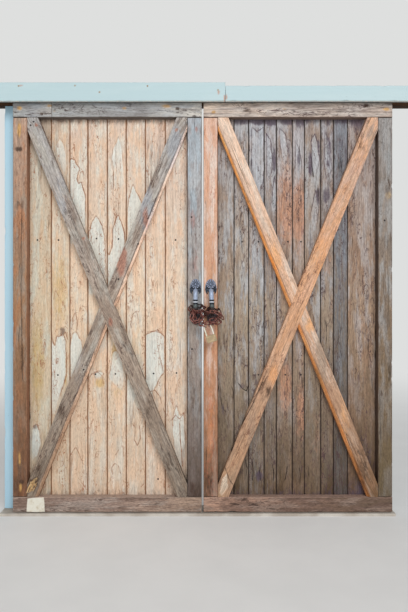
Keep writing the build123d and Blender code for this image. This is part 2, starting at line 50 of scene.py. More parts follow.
# The camera, matched to the photo
FOCAL_PIXELS = 614.0
PICTURE_HEIGHT = 612.0
EYE = Vector((0.0076, -3.3475, 1.192))
CENTRE_PIXEL = (204.5, 295.0)
HORIZON_SHIFT = -11.0 / PICTURE_HEIGHT
SENSOR = 36.0

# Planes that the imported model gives
LEAF_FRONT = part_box("left_meeting_stile")[0].y
BOARD_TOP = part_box("left_top_rail")[0].z
BOARD_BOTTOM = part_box("left_bottom_rail")[1].z

# Colours that are used more than once, as they show on a screen
DARK_BROWN = (70, 52, 42)
BACKDROP = (222, 223, 222)
NEARLY_BLACK = (30, 24, 22)
RED_BROWN = (150, 108, 84)
RUSSET = (186, 122, 86)
OCHRE = (206, 160, 96)
HOLLOW = (22, 30, 42)

# Painted shade on the boards under the top rail, and a darker band over the bottom rail: how far each
# reaches, how dark
TOP_SHADE = (0.05, 0.6)
FOOT_SHADE = (0.08, 0.45)

# Sizes of the small things
LINK_BEND = 0.0085  # radius of the wire's path round a link's end
LINK_STRAIGHT = 0.0095  # half of the straight run of a link
LINK_WIRE = 0.003
LINK_TURNS = 20
WIRE_SIDES = 8
NAIL_HEAD = 0.005
NAIL_SIDES = 10
NAIL_DOME = ((1.0, -0.0012), (1.0, 0.0002), (0.72, 0.0009), (0.25, 0.0012))  # share of the radius, rise
PATCH_DEPTHS = (0.001, -0.0005)  # back, front
SPLINTER_TAPER = ((0.0, 0.7), (0.35, 1.0), (0.75, 0.6), (1.0, 0.12))  # share of the length, girth
SPLINTER_PIXEL = 0.0054  # one pixel of the photo at the leaves
SPLINTER_FLATNESS = 0.7
SPLINTER_LIFT = 0.003  # how far the lowest tips stand out, and what others add to it
SPLINTER_LIFT_MORE = 0.002
FAR = 0.05  # how far off a patch or crack counts as absent
LINE_REACH = 0.005  # a crack keeps its strength for two of these and loses it over a third

# Heights of the bands on the handles, and depths in front of the leaf that part plate, petals and grip; the
# neck band and the wing band carry painted shade
NECK_SHADE = (1.2215, 1.2282)
WING_SHADE = (1.186, 1.2215)
GRIP_FADE = (1.164, 1.169)
GRIP_RINGS = (((1.1585, 1.1672), HOLLOW), ((1.151, 1.1585), (206, 212, 220)), ((1.142, 1.151), HOLLOW))
RUST_BELOW = 1.124  # the chain has stained the handles below this height
PETAL_RISE = (0.0056, 0.0042)
GRIP_RISE = (0.0115, 0.009)

# Fineness of the timber meshes: cells across and along, and the first cuts from the edges
CELL_ACROSS = 0.0045
CELL_ALONG = 0.011
MARGIN_ACROSS = 0.0035
MARGIN_ALONG = 0.004

# What counts as one point, as flat, as on a cutting plane and as nothing
SAME_PLACE = 1e-5
FLAT_ANGLE = 0.01
ON_PLANE = 1e-6
TINY = 1e-9

# Wear of the timbers, with its noise's scales across, through and along, and the height of ridges and bow
FACE_DEPTH = 0.0005  # a point closer than this behind the front lies on the face
BEVEL_DEPTH = 0.0015  # and one deeper than this lies on a side
SEAM_CLEARANCE = 0.01  # further from an edge than any seam reaches
ARRIS = 0.002  # the solids' broken edge
WEAR_DEPTH = 0.0035  # how far behind the front and from an edge the wood is worn
WEAR_REACH = 0.006
WORN_OFF = 0.0012
CHIPPED_OFF = 0.0035
EDGE_SHRINK = 0.7  # how much of what is worn off the front is worn off the side
RAGGED = (20, 20, 14)
CHIPS = (30, 30, 22)
CHIP_RARITY = 0.32
RIDGES = (((90, 90, 2.2), 0.0005), ((240, 240, 4), 0.00025))
BOW = ((0.1, 0.1, 0.9), 0.0008)
WEAR_SEEDS = (7.3, 1.9, 3.1)  # how far the noise is shifted from one timber to the next
GRAIN_SEEDS = (0.37, 0.11, 2.3)

# The light and the floor
LAMPS = (("key", (3.0, -10.0, 6.6), 720), ("fill", (-5.0, -9.0, 2.6), 200))  # name, place, power
LAMP_SIZE = 5.0
LAMP_AIM = Vector((0, 0, 1.2))
SKY = (0.96, 0.98, 1.0, 1.0)
SKY_STRENGTH = 0.35
FLOOR_RADIUS = 60
FLOOR_SIDES = 96
FLOOR_FADE = (1.0, 7.0, 0.25, 1.0)  # from near to far, and the backdrop's share there


def rgb(red, green, blue):
    """A colour that is written as it shows on a screen, for a shader."""
    linear = [((c / 255 + 0.055) / 1.055) ** 2.4 if c > 10 else c / 3294.6 for c in (red, green, blue)]
    return (*linear, 1.0)


def spot(x, y, depth=LEAF_FRONT):
    """The place in the frame that a pixel of the photo shows, on a plane that faces the camera."""
    scale = (depth - EYE.y) / FOCAL_PIXELS
    return Vector((EYE.x + (x - CENTRE_PIXEL[0]) * scale, depth, EYE.z + (CENTRE_PIXEL[1] - y) * scale))


def add_object(name, data):
    """A new object in the scene."""
    made = bpy.data.objects.new(name, data)
    bpy.context.scene.collection.objects.link(made)
    return made


def place_piece(mesh, material, body, slot, smooth=False):
    """A piece with the mesh's name that rides on a body."""
    mesh.materials.append(material)
    for polygon in mesh.polygons:
        polygon.use_smooth = smooth
    piece = add_object(mesh.name, mesh)
    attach(piece, body)
    return piece


class Shader:
    """A material with helpers that add its nodes, join them and lay coats of colour over one another."""

    def __init__(self, name, colour=None):
        self.colour = colour
        self.material = bpy.data.materials.new(name)
        self.material.use_nodes = True
        self.tree = self.material.node_tree
        self.tree.nodes.clear()
        self.surface = self.tree.nodes.new("ShaderNodeBsdfPrincipled")
        self.output = self.tree.nodes.new("ShaderNodeOutputMaterial")
        self.put(self.output.inputs[0], self.surface.outputs[0])

    def put(self, socket, value):
        """Joins a socket to another one, or gives it a number, a vector or a screen colour."""
        if isinstance(value, bpy.types.NodeSocket):
            self.tree.links.new(value, socket)
        else:
            socket.default_value = rgb(*value) if socket.type == "RGBA" else value

    def node(self, kind, inputs, **settings):
        made = self.tree.nodes.new("ShaderNode" + kind)
        for key, value in settings.items():
            setattr(made, key, value)
        for key, value in inputs.items():
            self.put(made.inputs[key], value)
        return made

    def math(self, operation, first, second=0.0, clamp=False):
        return self.node("Math", {0: first, 1: second}, operation=operation, use_clamp=clamp).outputs[0]

    def times(self, first, second, clamp=False):
        return self.math("MULTIPLY", first, second, clamp)

    def plus(self, first, second):
        return self.math("ADD", first, second)

    def minus(self, first, second):
        return self.math("SUBTRACT", first, second)

    def mix(self, factor, first, second, blend="MIX"):
        made = self.node("Mix", {}, data_type="RGBA", blend_type=blend, clamp_factor=True)
        for index, value in ((0, factor), (6, first), (7, second)):
            self.put(made.inputs[index], value)
        return made.outputs[2]

    def coat(self, factor, over, blend="MIX"):
        """Lays a colour over what is there."""
        self.colour = self.mix(factor, self.colour, over, blend)

    def shade(self, factor):
        """Multiplies the colour by a number."""
        grey = self.node("CombineColor", {0: factor, 1: factor, 2: factor})
        self.coat(1.0, grey.outputs[0], "MULTIPLY")

    def attribute(self, name):
        return self.node("Attribute", {}, attribute_name=name).outputs["Vector"]

    def split(self, vector):
        return self.node("SeparateXYZ", {0: vector}).outputs

    def place(self):
        return self.node("TexCoord", {}).outputs["Object"]

    def noise(self, vector, scale, detail=2.0, rough=0.5, bend=0.0):
        inputs = {"Vector": vector, "Scale": scale, "Detail": detail, "Roughness": rough, "Distortion": bend}
        return self.node("TexNoise", inputs).outputs["Fac"]

    def streaks(self, vector, scales, detail=2.0, rough=0.5, bend=0.0, shift=(0, 0, 0)):
        """Noise that is drawn out along the grain by its scales across, through and along it."""
        place = self.node("Mapping", {"Vector": vector, "Scale": scales, "Location": shift}).outputs[0]
        return self.noise(place, 1.0, detail, rough, bend)

    def step(self, value, low, high, bottom=0.0, top=1.0):
        """A smooth rise from bottom to top while the value goes from low to high."""
        inputs = {"Value": value, "From Min": low, "From Max": high, "To Min": bottom, "To Max": top}
        return self.node("MapRange", inputs, interpolation_type="SMOOTHSTEP").outputs[0]

    def line(self, value, centre, half_width):
        """One along the contour of a value, and nothing away from it."""
        return self.step(self.math("ABSOLUTE", self.minus(value, centre)), 0.0, half_width, 1.0, 0.0)

    def bump(self, height, strength, distance):
        inputs = {"Height": height, "Strength": strength, "Distance": distance}
        self.put(self.surface.inputs["Normal"], self.node("Bump", inputs).outputs[0])

    def finish(self, rough, metallic=0.0, specular=0.5):
        for name, value in (("Base Color", self.colour), ("Roughness", rough), ("Metallic", metallic),
                            ("Specular IOR Level", specular)):
            self.put(self.surface.inputs[name], value)
        return self.material


def weathered_wood(name, run, blotch, cool, grey, streak, warm, seam, fleck, patch=OCHRE, outline=RED_BROWN,
                   stain_and_shade=DARK_BROWN, crack=NEARLY_BLACK, fleck_amount=0.5, fleck_low=0.6,
                   figure_amount=0.15, streak_amount=0.5, squiggle_amount=0.5, patch_amount=0.75,
                   seam_reach=0.005, contrast=1.0, low_cool=0.25):
    """Old bare timber. The masks on the mesh say where it is patched, warm, dark with stains and painted
    shade, grey, cracked or tinted.
    """
    shader = Shader(name)
    times, plus, minus, step, line = shader.times, shader.plus, shader.minus, shader.step, shader.line
    coat, streaks = shader.coat, shader.streaks
    grain = shader.attribute("grain")
    patch_distance, warm_mask, dark_mask = shader.split(shader.attribute("marks"))
    place, grey_mask, edge = shader.split(shader.attribute("tone"))
    line_distance, line_strength, ink = shader.split(shader.attribute("lines"))
    fibre = streaks(grain, (520, 520, 14), 3, 0.6)
    strand = streaks(grain, (150, 150, 5), 5, 0.7)
    grit = streaks(grain, (190, 190, 55), 2, 0.6)
    broad = streaks(grain, (21, 21, 6.5), 5, 0.62)
    wash = streaks(grain, (24, 24, 5), 5, 0.65, shift=(3.1, 0, 7.7))
    weather = streaks(grain, (85, 85, 9), 6, 0.7, 0.5)
    figure = streaks(grain, (13, 13, 1.1), 2, 0.45)
    ring_line = line(shader.math("FRACT", times(figure, 16.0)), 0.5, 0.36)
    torn = streaks(grain, (62, 62, 24), 4, 0.6, 0.6)
    spots = streaks(grain, (78, 78, 20), 4, 0.62, 0.8, (9.2, 0, 1.3))
    swirl = streaks(grain, (42, 42, 15), 3, 0.5, 0.9, (2.2, 0, 8.4))
    check = streaks(grain, (95, 95, 1.6), 3, 0.55)
    check_zone = step(streaks(grain, (21, 21, 2.4)), 0.55, 0.62)
    cracks = times(line(check, 0.5, 0.016), check_zone)

    def swing(cloud, amount):
        return times(minus(cloud, 0.5), amount)

    def spread(mask, cloud, amount, low, high, most):
        return step(plus(mask, swing(cloud, amount)), low, high, 0.0, most)

    ramp = shader.node("ValToRGB", {0: place})
    stops = ramp.color_ramp.elements
    stops[0].color = rgb(*run[0])
    stops[1].color = rgb(*run[2])
    stops.new(0.5).color = rgb(*run[1])
    shader.colour = ramp.outputs[0]
    upper = step(place, 0.1, 0.55, low_cool, 1.0)
    coat(times(step(broad, 0.42, 0.62, 0.0, 0.75), shader.math("MAXIMUM", upper, 0.4)), blotch)
    coat(times(step(wash, 0.46, 0.62, 0.0, 0.75), upper), cool)
    bleached = spread(grey_mask, weather, 1.6, 0.25, 0.75, 0.9)
    coat(times(bleached, shader.math("MAXIMUM", upper, 0.35)), grey)
    coat(spread(warm_mask, torn, 1.1, 0.15, 0.95, 0.85), warm)
    coat(times(ring_line, figure_amount), streak)
    coat(step(weather, 0.54, 0.7, 0.0, streak_amount), streak)
    coat(1.0, shader.attribute("tint"), "MULTIPLY")
    field = plus(patch_distance, swing(torn, 0.016))
    inside = times(step(field, 0.0, 0.008), plus(ink, 0.4), clamp=True)
    coat(times(inside, patch_amount), patch)
    fleck_zone = streaks(grain, (22, 22, 4), shift=(1.7, 0, 5.9))
    fleck_zone = step(fleck_zone, 0.4, 0.62, 0.15, 1.0)
    flecks = step(spots, fleck_low, fleck_low + 0.06, 0.0, fleck_amount)
    coat(times(flecks, fleck_zone), fleck)
    wriggle = times(line(swirl, 0.5, 0.03), step(weather, 0.36, 0.5))
    wriggle_zone = times(times(fleck_zone, fleck_zone), squiggle_amount)
    coat(times(wriggle, wriggle_zone), fleck)
    broken = plus(times(weather, 2.6), minus(ink, 1.5))
    contour = times(line(field, 0.0, 0.0046), times(broken, 1.1))
    coat(times(contour, step(ink, 0.0, 0.2), clamp=True), outline)
    # the dark mask takes the stain colour both for real stains and for painted shade, under the top rail and
    # behind the chain
    coat(spread(dark_mask, torn, 1.3, 0.25, 0.85, 0.85), stain_and_shade)
    ragged = plus(edge, swing(torn, 0.006))
    coat(step(ragged, 0.0, seam_reach, 0.85, 0.0), seam)
    split = line(plus(line_distance, swing(torn, 0.007)), 0.0, 0.0042)
    split = times(split, step(weather, 0.36, 0.54, 0.2, 1.2))
    split = times(split, line_strength, clamp=True)
    coat(shader.math("MAXIMUM", split, times(cracks, 0.8)), crack)
    shade = times(step(fibre, 0.3, 0.7, 0.92, 1.12), step(strand, 0.32, 0.68, 0.9, 1.14))
    shade = times(shade, step(grit, 0.34, 0.62, 0.85, 1.07))
    shader.shade(shader.math("POWER", shade, contrast))

    relief = plus(times(fibre, 0.35), times(strand, 0.5))
    relief = minus(relief, times(ring_line, 0.2))
    relief = minus(relief, plus(cracks, times(split, 0.4)))
    relief = minus(relief, step(weather, 0.5, 0.75, 0.0, 0.4))
    shader.bump(relief, 0.8, 0.0014)
    return shader.finish(step(weather, 0.3, 0.7, 0.78, 0.93), specular=0.25)


def even_places(low, high, cell, margin):
    """Places for cuts between two ends, close to a cell apart, with one cut near each end."""
    count = max(1, round((high - low - 2 * margin) / cell))
    step = (high - low - 2 * margin) / count
    return [low + margin + step * index for index in range(count + 1)]


def wave(points, scale, shift):
    """Smooth noise from -1 to 1 at each point, after a stretch and a shift."""
    stretched = points * np.array(scale) + np.array(shift)
    return np.array([noise.noise(point) for point in stretched.tolist()])


def line_side(points, line):
    """How far each point is from a line through some corners, and on which side of its nearest stretch."""
    nearest = np.full(len(points), np.inf)
    side = np.ones(len(points))
    for start, end in zip(line[:-1], line[1:]):
        run = end - start
        share = np.clip(((points - start) @ run) / (run @ run), 0, 1)
        away = points - start - np.outer(share, run)
        distance = np.hypot(away[:, 0], away[:, 1])
        closer = distance < nearest
        side[closer] = np.where(run[0] * away[:, 1] < run[1] * away[:, 0], -1.0, 1.0)[closer]
        nearest[closer] = distance[closer]
    return nearest, side


def depth_inside(points, outline):
    """How deep each point lies inside a closed outline, and below nothing where it is outside."""
    closed = np.vstack([outline, outline[:1]])
    within = np.zeros(len(points), bool)
    for (x_start, z_start), (x_end, z_end) in zip(closed[:-1], closed[1:]):
        spans = (z_start > points[:, 1]) != (z_end > points[:, 1])
        rise = z_end - z_start or TINY
        within ^= spans & (points[:, 0] < x_start + (points[:, 1] - z_start) * (x_end - x_start) / rise)
    return line_side(points, closed)[0] * np.where(within, 1.0, -1.0)


class Timber:
    """A worn, finely divided mesh that stands for one CAD timber."""

    def __init__(self, node, body, material, slot, seed, lean=0.0, lying=False):
        self.node = node
        turn = Matrix.Rotation(math.pi / 2 if lying else lean, 3, "Y")
        self.along = turn @ Vector((0, 0, 1))
        self.aside = turn @ Vector((1, 0, 0))
        self.seed = seed
        bm = bmesh.new()
        bm.from_mesh(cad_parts[node].data)
        bmesh.ops.remove_doubles(bm, verts=bm.verts, dist=SAME_PLACE)
        bmesh.ops.dissolve_limit(bm, angle_limit=FLAT_ANGLE, verts=bm.verts, edges=bm.edges)
        for axis, cell, margin in ((self.along, CELL_ALONG, MARGIN_ALONG),
                                   (self.aside, CELL_ACROSS, MARGIN_ACROSS)):
            reach = [vert.co.dot(axis) for vert in bm.verts]
            for place in even_places(min(reach), max(reach), cell, margin):
                everything = bm.verts[:] + bm.edges[:] + bm.faces[:]
                bmesh.ops.bisect_plane(
                    bm, geom=everything, dist=ON_PLANE, plane_co=axis * place, plane_no=axis)
        self.mesh = bpy.data.meshes.new(node + "_wood")
        bm.to_mesh(self.mesh)
        bm.free()
        self.points = np.array([vert.co for vert in self.mesh.vertices])
        self.read_frame()
        self.wear()
        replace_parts(place_piece(self.mesh, material, body, slot), node)

    def read_frame(self):
        """Where each point lies along, across and through the timber."""
        self.length = self.points @ np.array(self.along)
        self.width = self.points @ np.array(self.aside)
        self.depth = self.points[:, 1]
        self.grain = np.stack([self.width, self.depth, self.length], axis=1)
        face = self.width[self.depth < self.depth.min() + FACE_DEPTH]
        self.side_low = face.min() - ARRIS
        self.side_high = face.max() + ARRIS
        self.edge = np.maximum(np.minimum(self.width - self.side_low, self.side_high - self.width), 0)

    def wear(self):
        """Rounds and chips the front arrises and raises the grain."""
        shift = [self.seed * number for number in WEAR_SEEDS]
        at_front = self.depth < self.depth.min() + WEAR_DEPTH
        near_edge = np.clip(1 - self.edge / WEAR_REACH, 0, 1)
        inward = np.where(self.width > (self.side_low + self.side_high) / 2, -1.0, 1.0)
        ragged = 0.5 + 0.5 * wave(self.grain, RAGGED, shift)
        chips = np.clip(wave(self.grain, CHIPS, shift[::-1]) - CHIP_RARITY, 0, 1) * 3
        loss = (WORN_OFF * ragged + CHIPPED_OFF * chips) * near_edge * at_front
        ridges = sum(wave(self.grain, scales, shift) * height for scales, height in RIDGES)
        bow = wave(self.grain, BOW[0], shift) * BOW[1]
        self.points += np.outer(inward * loss * EDGE_SHRINK + bow * (near_edge < 1), np.array(self.aside))
        self.points[:, 1] += loss + np.where(at_front, ridges, 0)
        self.mesh.vertices.foreach_set("co", self.points.astype(np.float32).ravel())

    def attribute(self, name, columns):
        values = np.stack(columns, axis=1).astype(np.float32)
        self.mesh.attributes.new(name, "FLOAT_VECTOR", "POINT").data.foreach_set("vector", values.ravel())

    def flat_spots(self, pixels):
        """The places of some pixels of the photo on the timber's worn front, as x and z."""
        return np.array([spot(x, y, self.depth.min()).xz for x, y in pixels])

    def paint(self, grey=0.0, tint=(1, 1, 1)):
        """Writes the masks that the wood shader reads, from the marks, patches and lines of this timber, and
        from the painted shade under the boards' top rail.
        """
        count = len(self.points)
        fields = {"warm": np.zeros(count), "dark": np.zeros(count), "grey": np.full(count, grey)}
        flat = self.points[:, [0, 2]]
        pixel = (self.depth.min() - EYE.y) / FOCAL_PIXELS
        for kind, x, y, across, up, strength in MARKS.get(self.node, ()):
            away = (flat - self.flat_spots([(x, y)])[0]) / (across * pixel, up * pixel)
            fields[kind] += np.clip(1.5 - np.hypot(away[:, 0], away[:, 1]), 0, 1) * strength
        # painted shade under the top rail, and a darker band over the bottom rail, go into the dark mask
        if "board" in self.node:
            fields["dark"] += np.clip(1 - (BOARD_TOP - flat[:, 1]) / TOP_SHADE[0], 0, 1) * TOP_SHADE[1]
            fields["dark"] += np.clip(1 - (flat[:, 1] - BOARD_BOTTOM) / FOOT_SHADE[0], 0, 1) * FOOT_SHADE[1]
        inside = np.full(count, -FAR)
        ink = np.zeros(count)
        for strength, pixels in PATCHES.get(self.node, ()):
            outline = self.flat_spots(pixels)
            deep = depth_inside(flat, outline)
            low, high = outline[:, 1].min(), outline[:, 1].max()
            fade = np.clip(2 * (flat[:, 1] - low) / (high - low), 0.0, 1.0)
            ink = np.where(deep > inside, strength * fade, ink)
            inside = np.maximum(inside, deep)
        distance = np.full(count, FAR)
        strong = np.zeros(count)
        for strength, pixels in CRACKS.get(self.node, ()):
            far, side = line_side(flat, self.flat_spots(pixels))
            closer = far < np.abs(distance)
            distance = np.where(closer, far * side, distance)
            strong = np.where(closer, strength * np.clip(3 - far / LINE_REACH, 0, 1), strong)
        place = (self.length - self.length.min()) / np.ptp(self.length)
        # the sides of the under-braces get their tint, which on the left one is a painted highlight
        bevel = np.clip((self.depth - self.depth.min()) / BEVEL_DEPTH - 1, 0, 1) * (self.edge == 0)
        no_seam = bevel * (self.node in BEVEL_TINTS_AND_HIGHLIGHT) * SEAM_CLEARANCE
        foot, head = np.array(BEVEL_TINTS_AND_HIGHLIGHT.get(self.node, EVEN_TINTS))
        change = 1 + np.outer(bevel, foot - 1) + np.outer(bevel * place, head - foot)
        shift = self.seed * np.array(GRAIN_SEEDS)
        self.attribute("grain", list((self.grain + shift).T))
        self.attribute("marks", [inside, fields["warm"], fields["dark"]])
        self.attribute("lines", [distance, strong, ink])
        self.attribute("tone", [place, fields["grey"], self.edge + no_seam])
        self.attribute("tint", list((change * np.array(tint)).T))


def paint_material(name, colour, chalk, dirt, bare):
    """Old oil paint on a board: chalky, a little stained, worn to the wood along the arrises."""
    shader = Shader(name, colour)
    grain = shader.attribute("grain")
    edge = shader.split(shader.attribute("tone"))[2]
    dark_mask = shader.split(shader.attribute("marks"))[2]
    broad = shader.streaks(grain, (9, 9, 1.6), 3)
    speck = shader.streaks(grain, (160, 160, 60), 3, 0.65)
    brush = shader.streaks(grain, (500, 500, 12))
    shader.coat(shader.step(broad, 0.4, 0.65, 0.0, 0.6), chalk)
    shader.coat(shader.step(speck, 0.66, 0.74, 0.0, 0.45), dirt)
    worn = shader.minus(edge, shader.plus(shader.times(speck, 0.012), -0.0062))
    shader.coat(shader.step(worn, 0.0, 0.0012, 0.8, 0.0), bare)
    rust = shader.plus(dark_mask, shader.times(shader.minus(speck, 0.5), 0.7))
    shader.coat(shader.step(rust, 0.3, 1.0, 0.0, 0.85), RUSSET)
    shader.bump(shader.plus(shader.times(brush, 0.3), speck), 0.35, 0.0006)
    return shader.finish(shader.step(broad, 0.3, 0.7, 0.5, 0.65), specular=0.4)


def plain_material(name, colour, worn, rust, amount, rough, metallic, shade_depth=None):
    """Metal or bare wood with worn spots and some rust or dirt, and with painted shade deep behind the front.
    """
    shader = Shader(name, colour)
    place = shader.place()
    cloud = shader.noise(place, 45.0, 4, 0.6)
    fine = shader.noise(place, 420.0, 3, 0.6)
    shader.coat(shader.step(cloud, 0.4, 0.65), worn)
    rusty = shader.plus(shader.times(fine, 0.5), shader.times(cloud, 0.5))
    shader.coat(shader.step(rusty, 0.62 - amount * 0.3, 0.72 - amount * 0.3), rust)
    # painted shade: darker the deeper behind the front
    if shade_depth:
        shader.coat(shader.step(shader.split(place)[1], *shade_depth, 0.0, 0.85), NEARLY_BLACK)
    shader.bump(shader.plus(fine, cloud), 0.4, 0.0005)
    return shader.finish(shader.step(rusty, 0.4, 0.65, rough, min(1.0, rough + 0.2)), metallic)


def handle_material():
    """Cast iron: dark hollows, rubbed high spots and grip, dark rings, rust where the chain hangs, and
    painted shade under the fan and at the wing tips.
    """
    shader = Shader("handle_iron", HOLLOW)
    depth, height = shader.split(shader.place())[1:]
    across = shader.split(shader.node("TexCoord", {}).outputs["Generated"])[0]
    aside = shader.math("ABSOLUTE", shader.minus(across, 0.5))
    fine = shader.noise(shader.place(), 300.0, 3, 0.6)
    cloud = shader.noise(shader.place(), 60.0, 3, 0.6)

    def band(low, high, soft):
        return shader.times(shader.step(height, low - soft, low + soft),
                            shader.step(height, high - soft, high + soft, 1.0, 0.0))

    def before_leaf(rises):
        return shader.step(depth, LEAF_FRONT - rises[0], LEAF_FRONT - rises[1], 1.0, 0.0)

    shader.coat(before_leaf(PETAL_RISE), (158, 170, 196))
    # painted shade: a dark band under the fan's overhang, and dark wing tips where shadow falls beneath them
    shader.coat(band(*NECK_SHADE, 0.001), HOLLOW)
    shader.coat(shader.times(band(*WING_SHADE, 0.001), shader.step(aside, 0.16, 0.4, 0.3, 1.0)), (40, 48, 62))
    grip = shader.mix(shader.step(height, *GRIP_FADE), (84, 92, 92), (164, 178, 202))
    for ring, colour in GRIP_RINGS:
        grip = shader.mix(band(*ring, 0.0008), grip, colour)
    shader.coat(before_leaf(GRIP_RISE), grip)
    rust = shader.plus(height, shader.times(cloud, 0.012))
    shader.coat(shader.step(rust, RUST_BELOW, RUST_BELOW + 0.014, 0.92, 0.0), (58, 38, 34))
    shader.shade(shader.step(fine, 0.35, 0.65, 0.86, 1.1))
    shader.bump(fine, 0.3, 0.0004)
    return shader.finish(shader.step(cloud, 0.4, 0.6, 0.38, 0.5), metallic=0.25)


def stone_material():
    """The pale cement sill."""
    shader = Shader("sill_cement", (206, 200, 190))
    grain = shader.noise(shader.place(), 220.0, 4, 0.7)
    cloud = shader.noise(shader.place(), 7.0, 3, 0.55)
    shader.coat(shader.step(cloud, 0.35, 0.65), (176, 166, 154))
    shader.coat(shader.step(grain, 0.58, 0.75, 0.0, 0.5), (120, 108, 96))
    shader.bump(grain, 0.5, 0.0012)
    return shader.finish(0.9, specular=0.2)


# Each wood's colours, with its run from foot to head, and how strongly its patterns show
WOODS = {
    # the left boards' run darkens toward the head as painted shade under the top rail
    "left_board": dict(
        run=[(204, 182, 160), (230, 208, 182), (210, 188, 172)], blotch=(228, 194, 164), cool=(220, 216, 204),
        grey=(178, 176, 172), streak=(190, 154, 126), warm=(212, 178, 122), patch=(216, 222, 216),
        outline=(140, 90, 64), seam=(146, 98, 62), stain_and_shade=(112, 92, 84), crack=(146, 96, 68),
        fleck=(156, 102, 72), fleck_amount=0.55, fleck_low=0.62, figure_amount=0.08, streak_amount=0.35,
        squiggle_amount=0.9, patch_amount=0.68, contrast=0.75, low_cool=0.7),
    "right_board": dict(
        run=[(74, 55, 30), (166, 150, 132), (172, 172, 178)], blotch=(152, 130, 112), cool=(176, 178, 182),
        grey=(176, 188, 196), streak=(96, 78, 68), warm=(192, 144, 116), patch=(190, 194, 200),
        outline=(82, 66, 76), seam=(60, 48, 42), stain_and_shade=(86, 74, 86), fleck=(84, 64, 64), fleck_amount=0.85,
        fleck_low=0.56, figure_amount=0.2, streak_amount=0.75, squiggle_amount=1.0, patch_amount=0.38,
        contrast=1.15, low_cool=0.1),
    "left_outer_stile": dict(
        run=[(92, 62, 46), (158, 122, 92), (184, 156, 138)], blotch=(176, 120, 84), cool=(156, 142, 128),
        grey=(150, 140, 132), streak=(96, 66, 50), warm=OCHRE, seam=RED_BROWN, fleck=(90, 60, 46)),
    "left_meeting_stile": dict(
        run=[(56, 36, 22), (174, 162, 152), (180, 190, 198)], blotch=(146, 134, 130), cool=(172, 184, 192),
        grey=(168, 176, 186), streak=(104, 84, 76), warm=(176, 132, 124), seam=(84, 74, 72),
        fleck=(96, 70, 62), low_cool=0.0),
    "left_rail": dict(
        run=[(170, 170, 166), (156, 156, 156), (208, 202, 192)], blotch=(140, 136, 134), cool=(172, 174, 176),
        grey=(158, 162, 166), streak=(96, 84, 80), warm=OCHRE, seam=(90, 78, 70), fleck=(74, 62, 60),
        fleck_amount=0.85, fleck_low=0.57, squiggle_amount=0.8, low_cool=1.0),
    "left_bottom_rail": dict(
        run=[(136, 114, 102), (156, 134, 122), (162, 138, 120)], blotch=(122, 100, 88), cool=(168, 154, 144),
        grey=(164, 152, 142), streak=(84, 64, 54), warm=RUSSET, seam=(178, 156, 142), fleck=(76, 56, 48),
        fleck_amount=0.8, fleck_low=0.57, streak_amount=0.75, seam_reach=0.003, contrast=1.6, low_cool=1.0),
    "left_brace": dict(
        run=[(130, 114, 98), (178, 160, 144), (176, 174, 172)], blotch=(142, 124, 110), cool=(184, 178, 168),
        grey=(164, 166, 170), streak=(96, 78, 70), warm=(176, 124, 104), patch=(212, 176, 124),
        outline=(66, 48, 38), seam=(110, 88, 76), fleck=(84, 64, 58), fleck_amount=0.85, fleck_low=0.57,
        streak_amount=0.7, squiggle_amount=0.8, contrast=1.4),
    "right_meeting_stile": dict(
        run=[(62, 46, 30), (202, 148, 112), (226, 196, 178)], blotch=(212, 160, 130), cool=(224, 206, 194),
        grey=(176, 166, 158), streak=(184, 128, 98), warm=(214, 142, 96), patch=(228, 216, 204),
        outline=RUSSET, seam=RED_BROWN, fleck=(176, 96, 74), contrast=0.7),
    "right_outer_stile": dict(
        run=[(98, 84, 60), (138, 116, 94), (158, 154, 152)], blotch=(122, 110, 100), cool=(158, 156, 154),
        grey=(154, 158, 160), streak=(84, 70, 62), warm=(182, 156, 120), seam=(82, 64, 54),
        fleck=(74, 58, 50), fleck_amount=0.8, contrast=1.2),
    "right_rail": dict(
        run=[(222, 202, 184), (194, 178, 166), (188, 172, 160)], blotch=(164, 150, 142), cool=(200, 190, 182),
        grey=(170, 166, 164), streak=(100, 82, 78), warm=OCHRE, seam=(110, 88, 76), fleck=(84, 66, 66),
        fleck_amount=0.9, fleck_low=0.57, figure_amount=0.4, squiggle_amount=1.0, low_cool=1.0),
    "right_bottom_rail": dict(
        run=[(182, 146, 126), (130, 104, 90), (106, 88, 72)], blotch=(112, 90, 80), cool=(146, 126, 114),
        grey=(150, 136, 126), streak=(74, 56, 48), warm=RUSSET, seam=(164, 136, 122), fleck=(66, 50, 44),
        fleck_amount=0.8, fleck_low=0.57, streak_amount=0.7, seam_reach=0.003, contrast=1.6, low_cool=1.0),
    "right_over_brace": dict(
        run=[(154, 128, 104), (212, 166, 134), (196, 166, 150)], blotch=(214, 162, 122), cool=(206, 172, 146),
        grey=(152, 138, 124), streak=(168, 120, 94), warm=(222, 156, 100), patch=(214, 198, 178),
        seam=(140, 96, 70), fleck=(120, 84, 68), fleck_amount=0.75, fleck_low=0.585, squiggle_amount=0.8,
        contrast=1.25),
    "right_under_brace": dict(
        run=[(112, 84, 58), (208, 168, 140), (232, 204, 182)], blotch=(218, 176, 144), cool=(220, 202, 186),
        grey=(152, 136, 120), streak=(178, 134, 106), warm=(230, 172, 120), seam=(150, 102, 72),
        fleck=(134, 96, 78), fleck_amount=0.6, streak_amount=0.45, contrast=1.15),
    "header": dict(
        run=[(92, 64, 44)] * 3, blotch=(110, 80, 56), cool=(84, 60, 44), grey=(150, 138, 126),
        streak=DARK_BROWN, warm=RUSSET, seam=NEARLY_BLACK, fleck=(70, 48, 36)),
}
WOODS = {name: weathered_wood(name + "_wood", **look) for name, look in WOODS.items()}

# The thick sides of the under-braces, which the camera sees: their tints at the foot and at the head. On the
# left under-brace the tint is a painted highlight that lightens its lit side; on the right it gives the side
# its orange colour
BEVEL_TINTS_AND_HIGHLIGHT = {"left_under_brace": ((1.4, 1.1, 0.9), (2.4, 2.0, 1.8)),
               "right_under_brace": ((1.15, 0.76, 0.42), (1.1, 0.68, 0.28))}
EVEN_TINTS = ((1, 1, 1), (1, 1, 1))
